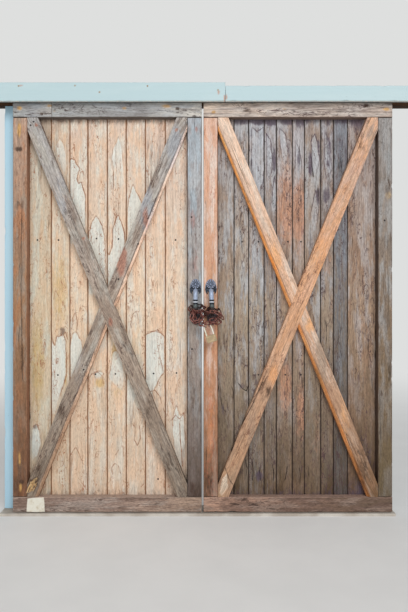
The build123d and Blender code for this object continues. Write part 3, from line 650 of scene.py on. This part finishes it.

# Each plain finish: its colour, its worn colour, its rust or dirt, how much of it, roughness and metallic,
# and for the chain the depths over which painted shade darkens the links further back
FINISHES = {
    "track_steel": ((70, 68, 68), (96, 92, 90), (96, 58, 38), 0.3, 0.55, 0.6),
    "wheel_iron": ((84, 82, 82), (130, 126, 122), (90, 54, 36), 0.2, 0.4, 0.8),
    # the chain's links darken toward the back as painted shade
    "chain_steel": ((92, 44, 40), (190, 128, 114), (48, 20, 18), 0.42, 0.26, 0.4,
                    (LEAF_FRONT - 0.07, LEAF_FRONT - 0.02)),
    "nail_iron": ((40, 36, 36), (58, 50, 48), (70, 42, 30), 0.3, 0.6, 0.3),
    "screw_rust": ((172, 166, 148), (160, 146, 124), (150, 116, 84), 0.3, 0.6, 0.2),
    "raw_wood": ((226, 190, 136), (206, 160, 104), (110, 76, 52), 0.45, 0.8, 0.0),
    "bare_patch": ((226, 222, 208), (216, 208, 190), (190, 176, 152), 0.2, 0.8, 0.0),
    "shackle_steel": ((226, 222, 196), (246, 244, 234), (170, 156, 116), 0.0, 0.3, 0.35),
    "lock_brass": ((166, 146, 114), (190, 168, 132), (134, 112, 76), 0.12, 0.42, 0.25),
}
FINISHES = {name: plain_material(name, *look) for name, look in FINISHES.items()}
FINISHES["handle_iron"] = handle_material()
FINISHES["sill_cement"] = stone_material()
FASCIA_PAINT = paint_material(
    "fascia_paint", (182, 204, 208), (194, 212, 214), (150, 170, 172), (226, 224, 214))
POST_PAINT = paint_material(
    "post_paint", (170, 206, 224), (186, 216, 228), (130, 152, 158), (210, 214, 210))

# Stains and painted shade on the timbers, each with its kind, its place and half sizes in pixels of the
# photo, and its strength
MARKS = {
    "left_fascia": [("dark", 21, 85.6, 3, 1.4, 0.7), ("dark", 100, 92.5, 1.4, 1.6, 0.7),
        ("dark", 219, 92, 2, 3, 0.8), ("dark", 225, 98, 1.2, 4, 0.9)],
    "right_fascia": [("dark", 227.4, 97, 1.2, 4, 0.9), ("dark", 330, 90, 1.2, 1.2, 0.4)],
    "left_board_1": [("dark", 180, 480, 9, 12, 0.2)],
    "left_board_2": [("grey", 156, 155, 9, 25, 0.35), ("warm", 156, 253, 8, 11, 0.3)],
    "left_board_3": [("warm", 136, 350, 8, 30, 0.3)],
    "left_board_4": [("warm", 115, 352, 3, 14, 0.8), ("warm", 118, 392, 6, 10, 0.4)],
    "left_board_5": [("warm", 100, 383, 5, 5, 0.9), ("dark", 92, 364, 4, 14, 0.2)],
    "left_board_6": [("dark", 70, 340, 1.5, 6, 0.8), ("warm", 79, 380, 7, 22, 0.3)],
    "left_board_7": [("dark", 63, 331, 4, 4, 0.7), ("dark", 52, 336, 2, 4, 0.7),
        ("warm", 60, 290, 9, 40, 0.6), ("warm", 66, 372, 1.5, 22, 0.7)],
    "left_board_8": [("warm", 38, 365, 7, 50, 0.7), ("grey", 36, 446, 9, 16, 0.6),
        ("dark", 38, 196, 3, 22, 0.35), ("dark", 36, 427, 3, 3, 0.7), ("dark", 36, 476, 9, 14, 0.5)],
    # the dark marks near y 121 to 126 at the tops of the right boards are stain and painted shade under the
    # top rail
    "right_board_1": [("warm", 226, 340, 8, 60, 0.2), ("dark", 223, 410, 2, 8, 0.6)],
    "right_board_2": [("dark", 243, 122, 7, 4, 0.4), ("dark", 243, 386, 4, 4, 0.5)],
    "right_board_3": [("dark", 259, 121, 8, 4, 0.7), ("dark", 260, 476, 4, 6, 0.8),
        ("dark", 258, 383, 4, 3, 0.6)],
    "right_board_4": [("dark", 274.7, 160, 2, 12, 0.9), ("dark", 272, 122, 6, 4, 0.7),
        ("dark", 272, 300, 4, 16, 0.4), ("warm", 277, 188, 1.5, 12, 0.5)],
    "right_board_5": [("warm", 288, 208, 12, 44, 0.75), ("warm", 286, 385, 7, 30, 0.7),
        ("dark", 290, 122, 8, 3, 0.6), ("dark", 290, 150, 2, 18, 0.5)],
    "right_board_6": [("warm", 300, 214, 10, 36, 0.75), ("warm", 302, 410, 6, 30, 0.6),
        ("dark", 301, 125, 5, 5, 0.5), ("dark", 299, 160, 1.5, 14, 0.7), ("dark", 303, 232, 2, 8, 0.5)],
    "right_board_7": [("dark", 311, 164, 2.5, 14, 0.9), ("dark", 319, 146, 2, 10, 0.7),
        ("dark", 319, 196, 3, 10, 0.7), ("warm", 318, 440, 6, 30, 0.3), ("dark", 312, 240, 2, 10, 0.5)],
    "right_board_8": [("dark", 329, 150, 3, 28, 0.6), ("dark", 327, 195, 4, 8, 0.7),
        ("warm", 328, 262, 5, 20, 0.4)],
    "right_board_9": [("dark", 343, 150, 6, 34, 0.4), ("warm", 342, 138, 5, 5, 0.3),
        ("dark", 344, 250, 5, 50, 0.35)],
    "right_board_10": [("warm", 364, 320, 12, 90, 0.2), ("dark", 364, 470, 14, 40, 0.4),
        ("dark", 358, 126, 6, 8, 0.6)],
    "left_outer_stile": [("warm", 19.7, 130, 2, 8, 0.9), ("dark", 19, 149, 4, 3, 0.9),
        ("warm", 21, 487, 1.4, 5, 0.9), ("warm", 20, 459, 1.5, 7, 0.8), ("dark", 22, 482, 3, 3, 0.8),
        ("dark", 20, 205, 5, 6, 0.5), ("dark", 23, 360, 3, 16, 0.5)],
    # the dark mark at (197, 316) is a rust stain and painted shade behind the chain
    "left_meeting_stile": [("warm", 197, 129, 1.5, 3, 0.9), ("dark", 194, 398, 4, 18, 0.4),
        ("dark", 197, 316, 8, 9, 0.9), ("dark", 192, 488, 5, 8, 0.6), ("warm", 193, 220, 3, 9, 0.6),
        ("warm", 196, 262, 3, 12, 0.5)],
    "left_top_rail": [("warm", 55, 111, 2, 1.4, 0.6), ("warm", 125, 108, 2.6, 1.6, 0.8),
        ("warm", 167, 106, 5, 2, 0.8), ("dark", 178, 108.5, 2, 1.6, 0.9), ("dark", 102, 108, 2, 1.6, 0.6)],
    "left_top_rail_end": [("warm", 20, 108, 2.4, 2.2, 1.0), ("warm", 50, 105.6, 3, 1.5, 0.8),
        ("dark", 42.5, 113.8, 2, 1.6, 0.9), ("grey", 36, 106, 10, 4, 0.6)],
    "right_top_rail": [("warm", 214, 112, 2.2, 1.8, 1.0), ("warm", 387, 109, 3.4, 1.6, 1.0),
        ("warm", 285, 109, 2.4, 1.4, 0.5), ("dark", 367, 105.7, 3, 2, 0.9), ("dark", 248, 111, 5, 2, 0.7),
        ("dark", 300, 107, 6, 2, 0.5)],
    "left_over_brace": [("warm", 36.5, 125, 1.6, 1.6, 1.2), ("warm", 84, 238.5, 1.6, 1.6, 1.1),
        ("dark", 68, 212, 4, 3, 0.6), ("grey", 62, 195, 7, 40, 0.5), ("dark", 104, 292, 7, 12, 0.4),
        ("dark", 53, 162, 2, 8, 0.5), ("dark", 168, 462, 7, 14, 0.5), ("dark", 150, 410, 5, 16, 0.5),
        ("warm", 111, 322, 2, 4, 1.1)],
    "left_under_brace": [("grey", 176, 150, 8, 30, 0.8), ("grey", 148, 212, 8, 26, 0.7),
        ("dark", 32, 488, 2, 3, 0.8), ("dark", 36, 482, 1.5, 3, 0.7), ("warm", 146, 217, 3, 10, 0.9),
        ("warm", 122, 260, 5, 16, 1.2), ("warm", 177, 130, 1.6, 2, 1.0), ("dark", 128, 270, 4, 12, 0.4),
        ("dark", 62, 412, 4, 14, 0.6), ("dark", 38, 470, 6, 10, 0.6), ("grey", 80, 370, 7, 30, 0.4)],
    # the dark mark at (212, 316) is a rust stain and painted shade behind the chain
    "right_meeting_stile": [("warm", 211, 420, 5, 40, 0.5), ("dark", 212, 316, 8, 9, 0.9),
        ("dark", 210, 484, 5, 14, 0.5), ("grey", 212, 470, 4, 16, 0.4)],
    "right_outer_stile": [("warm", 389, 195, 3, 4, 0.7), ("grey", 388, 160, 6, 40, 0.4)],
    "right_over_brace": [("grey", 372, 136, 7, 20, 0.5), ("dark", 266, 391, 8, 12, 0.5),
        ("dark", 362, 146, 4, 5, 0.5), ("warm", 320, 250, 8, 50, 0.5), ("grey", 252, 416, 5, 50, 0.7),
        ("warm", 274, 375, 6, 12, 0.6), ("dark", 270, 392, 3, 6, 0.3)],
    "right_under_brace": [("warm", 276, 258, 7, 14, 0.8), ("grey", 322, 360, 6, 40, 0.8),
        ("warm", 310, 325, 5, 8, 0.8), ("warm", 345, 420, 5, 30, 0.5), ("dark", 362, 466, 8, 36, 0.5)],
}

# Where a paler layer of wood lies bare: how dark its wavy rim is, and its outline in pixels of the photo
PATCHES = {
    "left_board_1": [(0.6, [(174, 414), (177, 404), (181, 416), (184.5, 412), (186, 440), (185, 462),
        (180, 470), (175, 452), (172.5, 430)])],
    "left_board_2": [(0.9, [(146, 334), (158, 330), (165, 336), (165, 372), (160, 378), (157, 386),
        (153.5, 392), (155, 402), (152, 412), (146, 416)])],
    "left_board_3": [(0.8, [(133.4, 184), (137, 192), (141, 199), (143.7, 207), (144, 225), (141, 240),
        (134, 247), (128, 243), (127.5, 215), (129.5, 198)]), (0.25, [(127, 380), (134, 374), (140, 386),
        (135, 400), (132, 424), (127, 426)])],
    "left_board_4": [(0.5, [(119, 136), (122, 145), (123.5, 160), (124, 175), (121, 172), (118, 180),
        (116.5, 170), (113, 165), (111.5, 157), (114, 148)]), (1.0, [(112.7, 246), (112.7, 230), (115, 223),
        (118.5, 215.5), (121, 220), (123, 226), (125, 233), (125.8, 244), (125, 300), (107, 300),
        (107, 251), (109.7, 255)]), (0.6, [(113, 352), (117, 350), (123, 358), (125, 372), (124, 392),
        (118, 388), (112, 382), (108.5, 377), (111, 368)])],
    "left_board_5": [(0.9, [(96.4, 215.5), (99.5, 220), (103, 226), (104.8, 236), (106, 250), (106, 295),
        (88, 295), (88, 245), (89.5, 232), (92.5, 222)]), (0.6, [(94, 372), (101, 371), (105, 374),
        (100, 378), (96, 380)])],
    "left_board_6": [(1.0, [(69.5, 162), (71.5, 158.5), (75, 159.5), (77, 164), (80, 168), (78.5, 174),
        (77, 179), (79.5, 184), (81.5, 182), (83.5, 188), (86, 195), (86.5, 245), (69.5, 245)]),
        (0.7, [(70, 344), (73, 334), (77, 331), (79.5, 337), (82, 341), (84, 352), (80, 362), (75, 374),
        (70, 380)])],
    "left_board_7": [(0.4, [(56, 146), (60, 138), (64.5, 144), (67, 155), (67.4, 166), (65.5, 176),
        (62, 170), (58, 160)]), (1.0, [(50.3, 335), (52.5, 338), (55.4, 346), (57, 336), (60, 336.5),
        (63.5, 334), (66.5, 341), (66.8, 375), (64, 385), (59, 400), (56.5, 414), (50.3, 416)])],
    "left_board_8": [(0.5, [(32, 432), (34, 426), (38, 424), (40, 431), (42, 444), (38, 456), (32, 462)])],
    "left_under_brace": [(0.9, [(26.5, 494), (28, 487), (29.6, 484.6), (30, 479.6), (33, 481), (34.4, 478),
        (38, 476.6), (39, 480), (36.4, 482), (37.6, 486), (34, 487), (34.6, 491), (30.4, 491.6)])],
    "right_board_2": [(0.4, [(240, 201), (243.5, 201), (244.6, 212), (242, 216), (239.6, 209)])],
    "right_board_3": [(0.8, [(252, 126), (257, 132), (264, 127), (265, 168), (262, 196), (258, 214),
        (254, 190), (252, 160)])],
    "right_board_4": [(0.9, [(267, 134), (271, 140), (273, 160), (270.6, 186), (268, 200), (267, 170)]),
        (0.8, [(275, 176), (277.5, 190), (276, 214), (273, 226), (271.4, 206)])],
    "right_board_5": [(0.8, [(280, 128), (286, 134), (289, 152), (287, 170), (283, 160), (280.5, 146)])],
    "right_board_6": [(0.8, [(296, 140), (300, 150), (302.5, 166), (299, 188), (296, 172)])],
    "right_board_7": [(1.0, [(312, 140), (315.5, 134), (318.5, 142), (320, 160), (317, 174), (313.4, 178),
        (311.5, 160)]), (0.8, [(316, 190), (320, 204), (318, 222), (313, 236), (311, 214)])],
    "right_board_8": [(0.8, [(325, 130), (330, 142), (332, 168), (328, 190), (325, 164)])],
    "right_meeting_stile": [(0.2, [(210, 150), (214, 140), (216, 176), (215, 230), (211, 236), (210, 190)])],
    "right_over_brace": [(0.5, [(222, 478), (228, 472), (229, 488), (223, 497), (219, 494)])],
}

# Long cracks and dark ragged edges: how dark each is, and its corners in pixels of the photo
CRACKS = {
    "left_board_1": [(1.0, [(180.2, 423), (180.8, 440), (182, 452), (182.8, 466)]), (0.7, [(172, 420),
        (176, 415), (180, 419), (184, 414)])],
    "left_board_2": [(0.7, [(148, 332), (155, 331), (161, 333)]), (0.6, [(158, 345), (161.5, 362),
        (164, 372)]), (0.9, [(150, 392), (155, 390), (160, 396), (163, 406), (165, 412)])],
    "left_board_3": [(0.5, [(136.5, 421), (136.5, 433)]), (0.7, [(131, 326), (133, 314), (137, 311),
        (139, 320)]), (0.8, [(133, 424), (136, 428), (135, 440), (138, 446), (141, 438), (140, 426)])],
    "left_board_4": [(0.7, [(113, 474), (112, 468), (115, 463), (119, 466), (121, 473)]), (0.6, [(116, 455),
        (119, 450)])],
    "left_board_5": [(0.5, [(96, 456), (97.5, 451), (101, 451.5)]), (0.6, [(95, 463), (96, 456)]),
        (0.7, [(89, 380), (92, 374), (98, 372), (103, 376), (104, 384)])],
    "left_board_6": [(0.7, [(69.5, 450), (71, 455), (73, 452), (76, 447), (79, 452), (82, 460)]),
        (0.7, [(72, 330), (73, 318), (76, 312), (78, 322), (77, 330)])],
    "left_board_7": [(0.8, [(58.5, 338), (60.5, 333), (63, 336), (66, 332), (68, 339)]), (0.6, [(54, 300),
        (56, 290), (59, 296)])],
    "right_board_1": [(0.7, [(221.5, 398), (222, 404), (224.5, 410)]), (0.6, [(232, 386), (234, 392),
        (233.6, 398)])],
    "right_board_2": [(0.9, [(239.5, 384), (243, 388.5), (247, 391), (249, 386)]), (0.8, [(246, 460),
        (247.5, 468), (246.6, 476)])],
    "right_board_3": [(0.9, [(252.6, 462), (253.6, 470), (253, 480)]), (0.7, [(257.4, 350), (258, 358)]),
        (0.8, [(260, 470), (261, 480)])],
    "right_board_4": [(0.5, [(272.5, 196), (273, 204), (274, 200)]), (0.9, [(273, 464), (274.4, 473),
        (273.6, 481)])],
    "right_board_5": [(1.0, [(285.4, 480), (287, 473), (288, 466)]), (0.6, [(290, 436), (292, 446),
        (291, 452)])],
    "right_board_6": [(0.5, [(299.8, 146), (300.2, 160), (299.4, 173)]), (0.8, [(300, 468), (301, 476),
        (300.4, 482)])],
    "right_board_7": [(0.8, [(308.6, 466), (309.4, 476)]), (0.8, [(313, 150), (312, 163), (314, 176)]),
        (0.7, [(318.5, 188), (319.5, 200)])],
    "right_board_8": [(0.8, [(326, 320), (327.4, 332), (326.6, 344)]), (0.7, [(333, 140), (334, 160),
        (333, 178)])],
    "right_over_brace": [(0.9, [(263, 382), (257, 397), (250, 410), (240, 430), (232, 452)]),
        (0.5, [(268, 376), (262, 388), (252, 400)]), (0.7, [(226, 468), (229, 478), (233, 484)])],
    "right_outer_stile": [(0.4, [(388, 240), (389, 300), (387.5, 340)])],
    "left_over_brace": [(0.4, [(70, 215), (88, 255), (97, 278)]), (0.4, [(152, 402), (162, 428),
        (170, 446)])],
    "left_under_brace": [(0.4, [(150, 205), (140, 228), (131, 246)])],
    "left_outer_stile": [(0.6, [(22.5, 200), (21.5, 290), (23, 380)])],
}

# Nail and screw heads, each at a pixel of the photo
NAILS = {
    "left_board_1": [(180.4, 480.8), (176, 240), (177, 373)],
    "left_board_2": [(158.6, 479), (154, 373.5)],
    "left_board_4": [(115.9, 373.9), (119, 239)],
    "left_board_5": [(95.9, 374.2), (97, 238.5)],
    "left_board_7": [(58.4, 375), (59, 240)],
    "left_board_8": [(38, 240)],
    "left_over_brace": [(34.2, 121.6), (31.2, 125.2)],
    "left_under_brace": [(138.6, 243.8), (119, 279.2), (84.1, 369.7)],
    "left_meeting_stile": [(192, 217), (192.5, 349)],
    "right_board_2": [(242.5, 241.7)],
    "right_board_3": [(259, 241.7), (259, 374.7)],
    "right_board_5": [(288.4, 241.7), (285.7, 374.7)],
    "right_board_6": [(301.5, 241.7), (301.4, 374.7)],
    "right_board_8": [(330, 241.5), (329, 374.5)],
    "right_outer_stile": [(385, 220.4)],
    "left_fascia": [(19, 86), (75.5, 85.6), (100, 92), (148, 86), (218.5, 90)],
}

# The bare off-white patch on the left bottom rail, and the raw splinters at the foot of the left under-brace:
# each from one pixel of the photo to another, and its width in pixels
BARE_PATCH = [(28.1, 498.6), (33, 497.9), (44.4, 497.3), (44.9, 503), (45.2, 511.8), (36, 512), (27, 511.8),
              (27.4, 505)]
SPLINTERS = [
    (27.4, 491.5, 33.0, 480.5, 0.9), (29.2, 492.6, 36.8, 478.2, 0.8), (31.0, 492.0, 34.6, 484.0, 1.0),
    (28.4, 489.0, 31.2, 483.2, 0.8), (33.2, 491.4, 38.2, 480.6, 0.8), (30.4, 487.6, 35.4, 477.4, 0.6),
    (34.6, 489.2, 37.6, 484.2, 0.7), (26.9, 493.0, 29.8, 487.6, 0.6), (32.2, 486.4, 33.6, 478.8, 0.5)]

# How each board differs from the others of its leaf, numbered from the meeting stile outward
BOARD_TINTS = {
    "left": [(1.0, 1.0, 1.02), (1.0, 0.99, 1.0), (1.0, 1.0, 1.0), (1.0, 1.0, 1.0), (0.99, 0.98, 0.97),
             (0.98, 0.97, 0.96), (0.92, 0.92, 0.89), (0.82, 0.85, 0.82)],
    "right": [(1.04, 1.04, 1.02), (1.06, 1.06, 1.04), (1.06, 1.06, 1.06), (1.0, 0.98, 0.97),
              (1.04, 1.0, 0.97), (1.04, 0.98, 0.95), (0.98, 0.96, 0.93), (0.9, 0.87, 0.85),
              (0.56, 0.56, 0.58), (0.98, 0.86, 0.78)]}
BOARD_GREY = {"left": [0.0] * 8, "right": [0.1, 0.25, 0.35, 0.3, 0.15, 0.0, 0.1, 0.15, 0.4, -0.4]}

# The number that starts each timber's own grain, counted up within a leaf
FIRST_SEEDS = {"left": 20, "right": 50}
FASCIA_SEEDS = {"left": 60, "right": 61}
POST_SEEDS = {"left": 64, "right": 65}
HEADER_SEED = 68


def brace_lean(node):
    """The lean of a brace, from its own mesh: the angle of its long edges from upright."""
    points = np.array([vert.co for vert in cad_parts[node].data.vertices])
    flat = points[:, [0, 2]] - points[:, [0, 2]].mean(axis=0)
    across, up = np.linalg.svd(flat, full_matrices=False)[2][0]
    return math.atan2(across, up) if up > 0 else math.atan2(-across, -up)


def build_leaf(name):
    """The boards, stiles, rails and braces of one leaf."""
    seed = FIRST_SEEDS[name]

    def make(node, wood, **settings):
        nonlocal seed
        timber = Timber(node, f"{name}_leaf", WOODS[wood], f"wood_{name}", seed=seed, **settings)
        seed += 1
        return timber

    for index, tint in enumerate(BOARD_TINTS[name]):
        make(f"{name}_board_{index + 1}", f"{name}_board").paint(grey=BOARD_GREY[name][index], tint=tint)
    for node in (f"{name}_meeting_stile", f"{name}_outer_stile"):
        make(node, node).paint()
    make(f"{name}_bottom_rail", f"{name}_bottom_rail", lying=True).paint()
    for node in (f"{name}_top_rail", f"{name}_top_rail_end"):
        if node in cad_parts:
            make(node, f"{name}_rail", lying=True).paint()
    for node in (f"{name}_over_brace", f"{name}_under_brace"):
        wood = node if node in WOODS else f"{name}_brace"
        make(node, wood, lean=brace_lean(node)).paint()


def build_frame():
    """The painted fascia and posts, and the header."""
    for side, seed in FASCIA_SEEDS.items():
        Timber(f"{side}_fascia", "frame", FASCIA_PAINT, "fascia_paint", lying=True, seed=seed).paint()
    for side, seed in POST_SEEDS.items():
        Timber(f"{side}_post", "frame", POST_PAINT, "fascia_paint", seed=seed).paint()
    Timber("header", "frame", WOODS["header"], "header_wood", lying=True, seed=HEADER_SEED).paint()


def add_piece(name, bm, finish, body, slot, smooth=False):
    """Turns a bmesh into a piece."""
    mesh = bpy.data.meshes.new(name)
    bm.normal_update()
    bm.to_mesh(mesh)
    bm.free()
    return place_piece(mesh, FINISHES[finish], body, slot, smooth)


def circle(sides, start=0.0):
    """Evenly spread angles of a full turn, as cosine and sine."""
    angles = [math.tau * (turn + start) / sides for turn in range(sides)]
    return [(math.cos(angle), math.sin(angle)) for angle in angles]


def join_rings(bm, rings, closed=False):
    """Faces between rings of points, each ring closed in itself."""
    rows = [[bm.verts.new(point) for point in ring] for ring in rings]
    after = rows[1:] + rows[:1] if closed else rows[1:]
    for row, other in zip(rows, after):
        for index in range(len(row)):
            following = (index + 1) % len(row)
            bm.faces.new((row[index], row[following], other[following], other[index]))
    return rows


def drive_nails(name, prefix, finish, body, slot):
    """Low domed heads of nails and screws, where the photo shows them."""
    bm = bmesh.new()
    for node, pixels in NAILS.items():
        for x, y in pixels if node.startswith(prefix) else ():
            centre = spot(x, y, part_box(node)[0].y)
            rings = [[centre + Vector((reach * NAIL_HEAD * cos, -rise, reach * NAIL_HEAD * sin))
                      for cos, sin in circle(NAIL_SIDES)] for reach, rise in NAIL_DOME]
            bm.faces.new(join_rings(bm, rings)[-1])
    add_piece(name, bm, finish, body, slot)


def lay_bare_patch():
    """The thin off-white patch on the left bottom rail."""
    bm = bmesh.new()
    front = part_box("left_bottom_rail")[0].y
    rings = [[spot(x, y, front + depth) for x, y in BARE_PATCH] for depth in PATCH_DEPTHS]
    bm.faces.new(join_rings(bm, rings)[-1])
    add_piece("left_bare_patch", bm, "bare_patch", "left_leaf", "wood_left")


def raise_splinters():
    """Torn slivers of raw wood at the foot of the left under-brace."""
    bm = bmesh.new()
    for number, (x, y, end_x, end_y, width) in enumerate(SPLINTERS):
        root = spot(x, y)
        tip = spot(end_x, end_y) + Vector((0, -SPLINTER_LIFT - SPLINTER_LIFT_MORE * (number % 3), 0))
        half = width * 0.5 * SPLINTER_PIXEL
        across = (tip - root).cross(Vector((0, 1, 0))).normalized() * half
        rings = []
        for share, girth in SPLINTER_TAPER:
            middle = root.lerp(tip, share)
            lift = Vector((0, -half * SPLINTER_FLATNESS * girth, 0))
            rings.append([middle + across * girth, middle + lift, middle - across * girth, middle - lift])
        rows = join_rings(bm, rings)
        bm.faces.new(rows[0])
        bm.faces.new(rows[-1])
    add_piece("left_splinters", bm, "raw_wood", "left_leaf", "wood_left")


def loose_parts(mesh):
    """The points of each separate solid in a mesh."""
    bm = bmesh.new()
    bm.from_mesh(mesh)
    bmesh.ops.remove_doubles(bm, verts=bm.verts, dist=SAME_PLACE)
    parts = []
    for first in bm.verts:
        if first.tag:
            continue
        first.tag = True
        part = [first]
        for vert in part:
            for edge in vert.link_edges:
                other = edge.other_vert(vert)
                if not other.tag:
                    other.tag = True
                    part.append(other)
        parts.append(np.array([vert.co for vert in part]))
    bm.free()
    return parts


def round_chain(side):
    """A chain of smooth round wire, each link in the place of the CAD link."""
    node = f"{side}_chain"
    bm = bmesh.new()
    for points in loose_parts(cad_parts[node].data):
        middle = Vector((points.min(axis=0) + points.max(axis=0)) / 2)
        axes = np.linalg.svd(points - points.mean(axis=0), full_matrices=False)[2]
        run, aside = Vector(axes[0]), Vector(axes[1])
        up = run.cross(aside)
        rings = []
        for cos, sin in circle(LINK_TURNS, 0.5):
            out = run * cos + aside * sin
            centre = middle + out * LINK_BEND + run * math.copysign(LINK_STRAIGHT, cos)
            rings.append([centre + (out * a + up * b) * LINK_WIRE for a, b in circle(WIRE_SIDES)])
        join_rings(bm, rings, closed=True)
    bmesh.ops.recalc_face_normals(bm, faces=bm.faces)
    piece = add_piece(node + "_round", bm, "chain_steel", f"{side}_leaf", "chain_steel", smooth=True)
    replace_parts(piece, node)


def dress(finish, nodes):
    """Gives CAD nodes that stay their finish."""
    for node in nodes:
        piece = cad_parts[node]
        piece.data.materials.clear()
        piece.data.materials.append(FINISHES[finish])


def build_stage():
    """A pale floor under soft light, and the camera of the photo."""
    floor = add_object("floor", bpy.data.meshes.new("floor"))
    bm = bmesh.new()
    bmesh.ops.create_circle(bm, cap_ends=True, radius=FLOOR_RADIUS, segments=FLOOR_SIDES)
    bm.to_mesh(floor.data)
    bm.free()
    shader = Shader("floor_pale", (238, 237, 235))
    shader.coat(shader.step(shader.noise(shader.place(), 3.0, 3), 0.3, 0.7), (232, 231, 229))
    floor.data.materials.append(shader.finish(0.9, specular=0.1))
    distance = shader.node("VectorMath", {0: shader.place()}, operation="LENGTH").outputs["Value"]
    seen = shader.node("LightPath", {}).outputs["Is Camera Ray"]
    fade = shader.times(shader.step(distance, *FLOOR_FADE), seen)
    glow = shader.node("Emission", {"Color": BACKDROP}).outputs[0]
    blend = shader.node("MixShader", {0: fade, 1: shader.surface.outputs[0], 2: glow})
    shader.put(shader.output.inputs[0], blend.outputs[0])

    world = bpy.data.worlds.new("studio")
    bpy.context.scene.world = world
    world.use_nodes = True
    tree = world.node_tree
    background = tree.nodes["Background"]
    background.inputs["Color"].default_value = SKY
    background.inputs["Strength"].default_value = SKY_STRENGTH
    pale = tree.nodes.new("ShaderNodeBackground")
    pale.inputs["Color"].default_value = rgb(*BACKDROP)
    either = tree.nodes.new("ShaderNodeMixShader")
    seen = tree.nodes.new("ShaderNodeLightPath")
    tree.links.new(seen.outputs["Is Camera Ray"], either.inputs[0])
    tree.links.new(background.outputs[0], either.inputs[1])
    tree.links.new(pale.outputs[0], either.inputs[2])
    tree.links.new(either.outputs[0], tree.nodes["World Output"].inputs[0])

    for name, place, power in LAMPS:
        lamp = bpy.data.lights.new(name, "AREA")
        lamp.energy = power
        lamp.size = LAMP_SIZE
        thing = add_object(name, lamp)
        thing.location = place
        thing.rotation_mode = "QUATERNION"
        thing.rotation_quaternion = (LAMP_AIM - Vector(place)).to_track_quat("-Z", "Y")

    camera = bpy.data.cameras.new("camera")
    camera.sensor_width = SENSOR
    camera.lens = SENSOR * FOCAL_PIXELS / PICTURE_HEIGHT
    camera.shift_y = HORIZON_SHIFT
    thing = add_object("camera", camera)
    thing.location = EYE
    thing.rotation_euler = (math.pi / 2, 0, 0)
    bpy.context.scene.camera = thing
    bpy.context.scene.view_settings.view_transform = "Standard"


build_stage()
build_frame()
dress("sill_cement", ["sill"])
dress("track_steel", ["track_bar", "track_bolts", "track_spacers", "track_stops", "fascia_straps"])
dress("lock_brass", ["lock_body", "lock_plug"])
dress("shackle_steel", ["lock_shackle"])
for side in ("left", "right"):
    build_leaf(side)
    dress("track_steel", [f"{side}_hangers", f"{side}_hanger_bolts", f"{side}_guide_pin"])
    dress("wheel_iron", [f"{side}_inner_wheel", f"{side}_outer_wheel"])
    dress("handle_iron", [f"{side}_handle"])
for side in ("left", "right"):
    round_chain(side)
    timbers = tuple(f"{side}_{part}" for part in ("board", "over", "under", "meeting", "outer"))
    drive_nails(f"{side}_nails", timbers, "nail_iron", f"{side}_leaf", f"wood_{side}")
drive_nails("fascia_screws", "left_fascia", "screw_rust", "frame", "fascia_paint")
lay_bare_patch()
raise_splinters()
